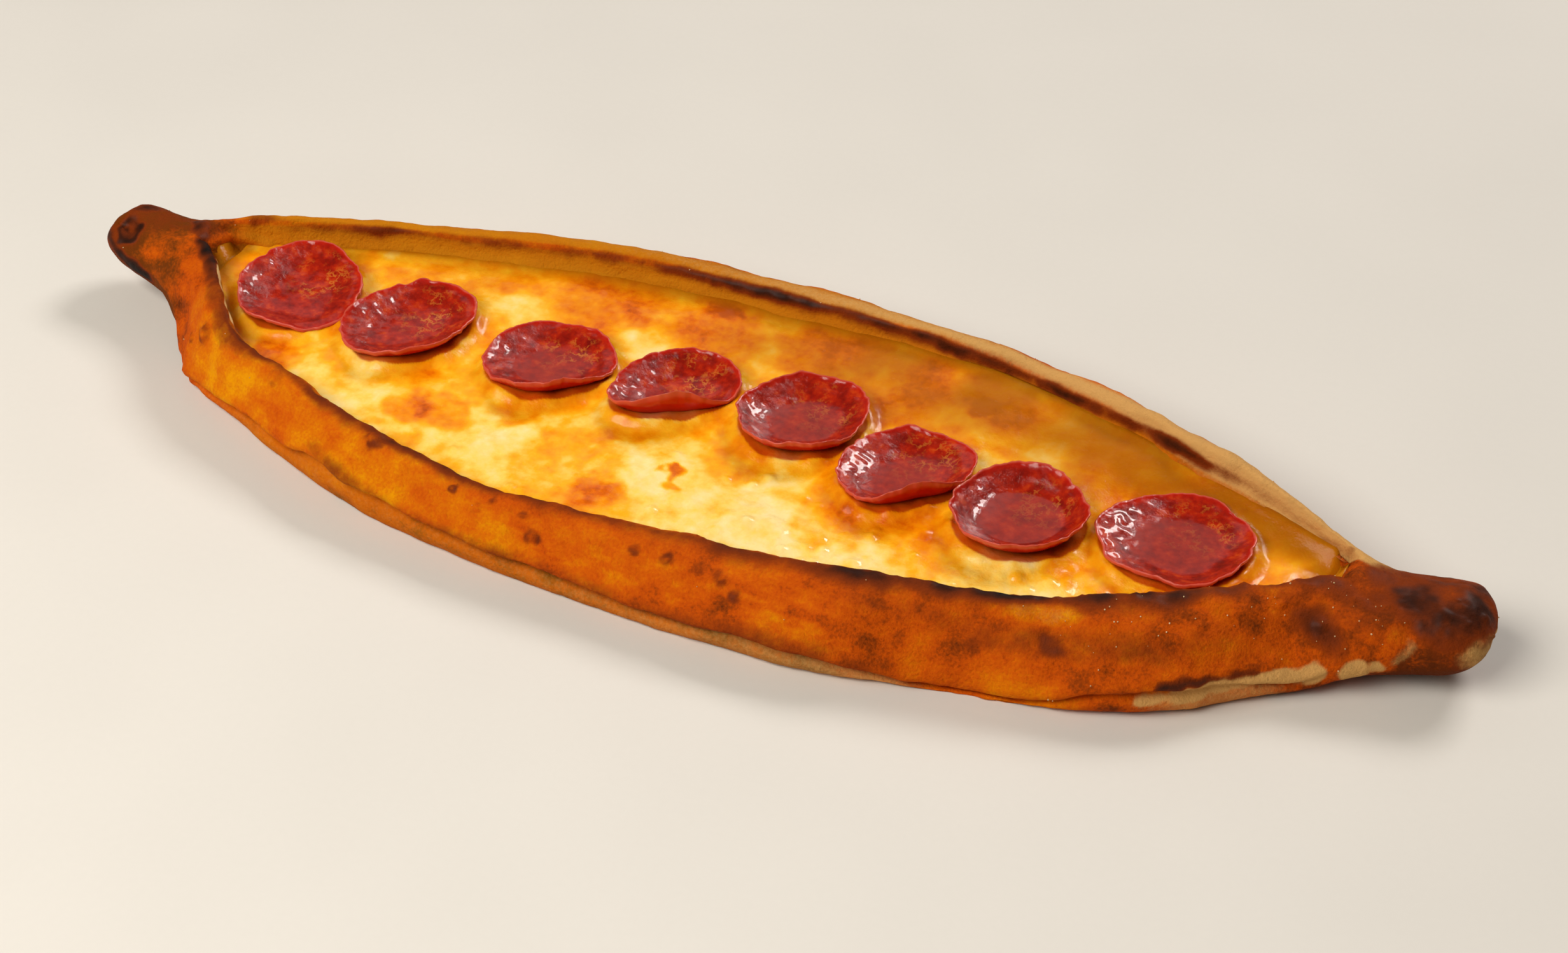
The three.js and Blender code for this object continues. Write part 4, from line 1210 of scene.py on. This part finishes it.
def mottled_material(groups, name, shine, mottling, stops, rough):
    """A matt material whose colour and roughness follow its mottling.

    mottling: patch size, fleck size and fleck share. stops: position and colour code of each.
    rough: the two mottle values between which the roughness changes, and its two values there.
    """
    material, nodes, shader = new_material(name, Specular_IOR_Level=shine)
    sizes = dict(zip(("Patch size", "Fleck size", "Fleck share"), mottling))
    mottle = nodes.placed(groups["mottle"], sizes)
    nodes.feed(shader, {
        "Base Color": nodes.ramp(mottle["Value"], stops),
        "Roughness": nodes.step(mottle["Value"], *rough)})
    return material


def flour_and_glint_material(groups):
    """Toasted flour and crumb, pale enough to stand in for small glints: painted highlights."""
    return mottled_material(groups, "toasted flour and painted glints", 0.3, (9.0, 1.2, 0.6),
                            [(0.3, "b8804a"), (0.6, "e4c898")], (0.3, 0.7, 0.6, 0.9))


def floor_material(groups):
    """Pale plain board with a faint grain."""
    return mottled_material(groups, "pale floor", 0.2, (60.0, 2.0, 0.3),
                            [(0.2, "dcd8d1"), (0.8, "e1ddd6")], (0.2, 0.8, 0.75, 0.9))


# ---- Floor and lights ----
def make_floor(material):
    """The square floor that the boat lies on."""
    corners = [(FLOOR_HALF * x, FLOOR_HALF * y, 0) for x, y in ((-1, -1), (1, -1), (1, 1), (-1, 1))]
    mesh = bpy.data.meshes.new("floor")
    mesh.from_pydata(corners, [], [(0, 1, 2, 3)])
    mesh.materials.append(material)
    floor = bpy.data.objects.new("floor", mesh)
    bpy.context.scene.collection.objects.link(floor)


def soft_light(name, azimuth, elevation, distance, size, power, colour):
    """A rectangular area light that faces the middle of the boat."""
    lamp = bpy.data.lights.new(name, "AREA")
    lamp.shape = "RECTANGLE"
    lamp.size, lamp.size_y = size
    lamp.energy = power
    lamp.color = colour
    aim(bpy.data.objects.new(name, lamp), direction(azimuth, elevation) * distance, Vector((0, 0, 0)))


def make_lights():
    """The three soft lights, and a faint warm light from all round."""
    for light in LIGHTS:
        soft_light(*light)
    world = bpy.data.worlds.new("studio")
    bpy.context.scene.world = world
    world.use_nodes = True
    room = world.node_tree.nodes["Background"].inputs
    room["Color"].default_value = ROOM_COLOUR
    room["Strength"].default_value = ROOM_BRIGHTNESS


# ---- Making everything ----
bpy.context.scene.view_settings.view_transform = "Standard"
groups = {"scorching": scorching_group(), "mottle": mottle_group(), "relief": relief_group(),
          "oily": oily_group()}
crust_grid = make_crust(dough_material(groups))
make_flour_and_glints(flour_and_glint_material(groups), *crust_grid)
make_cheese(cheese_material(groups))
sausage = sausage_material(groups)
for slice_number, slice_shape in enumerate(SLICES, 1):
    make_slice(slice_shape, slice_number, sausage)
make_floor(floor_material(groups))
make_lights()
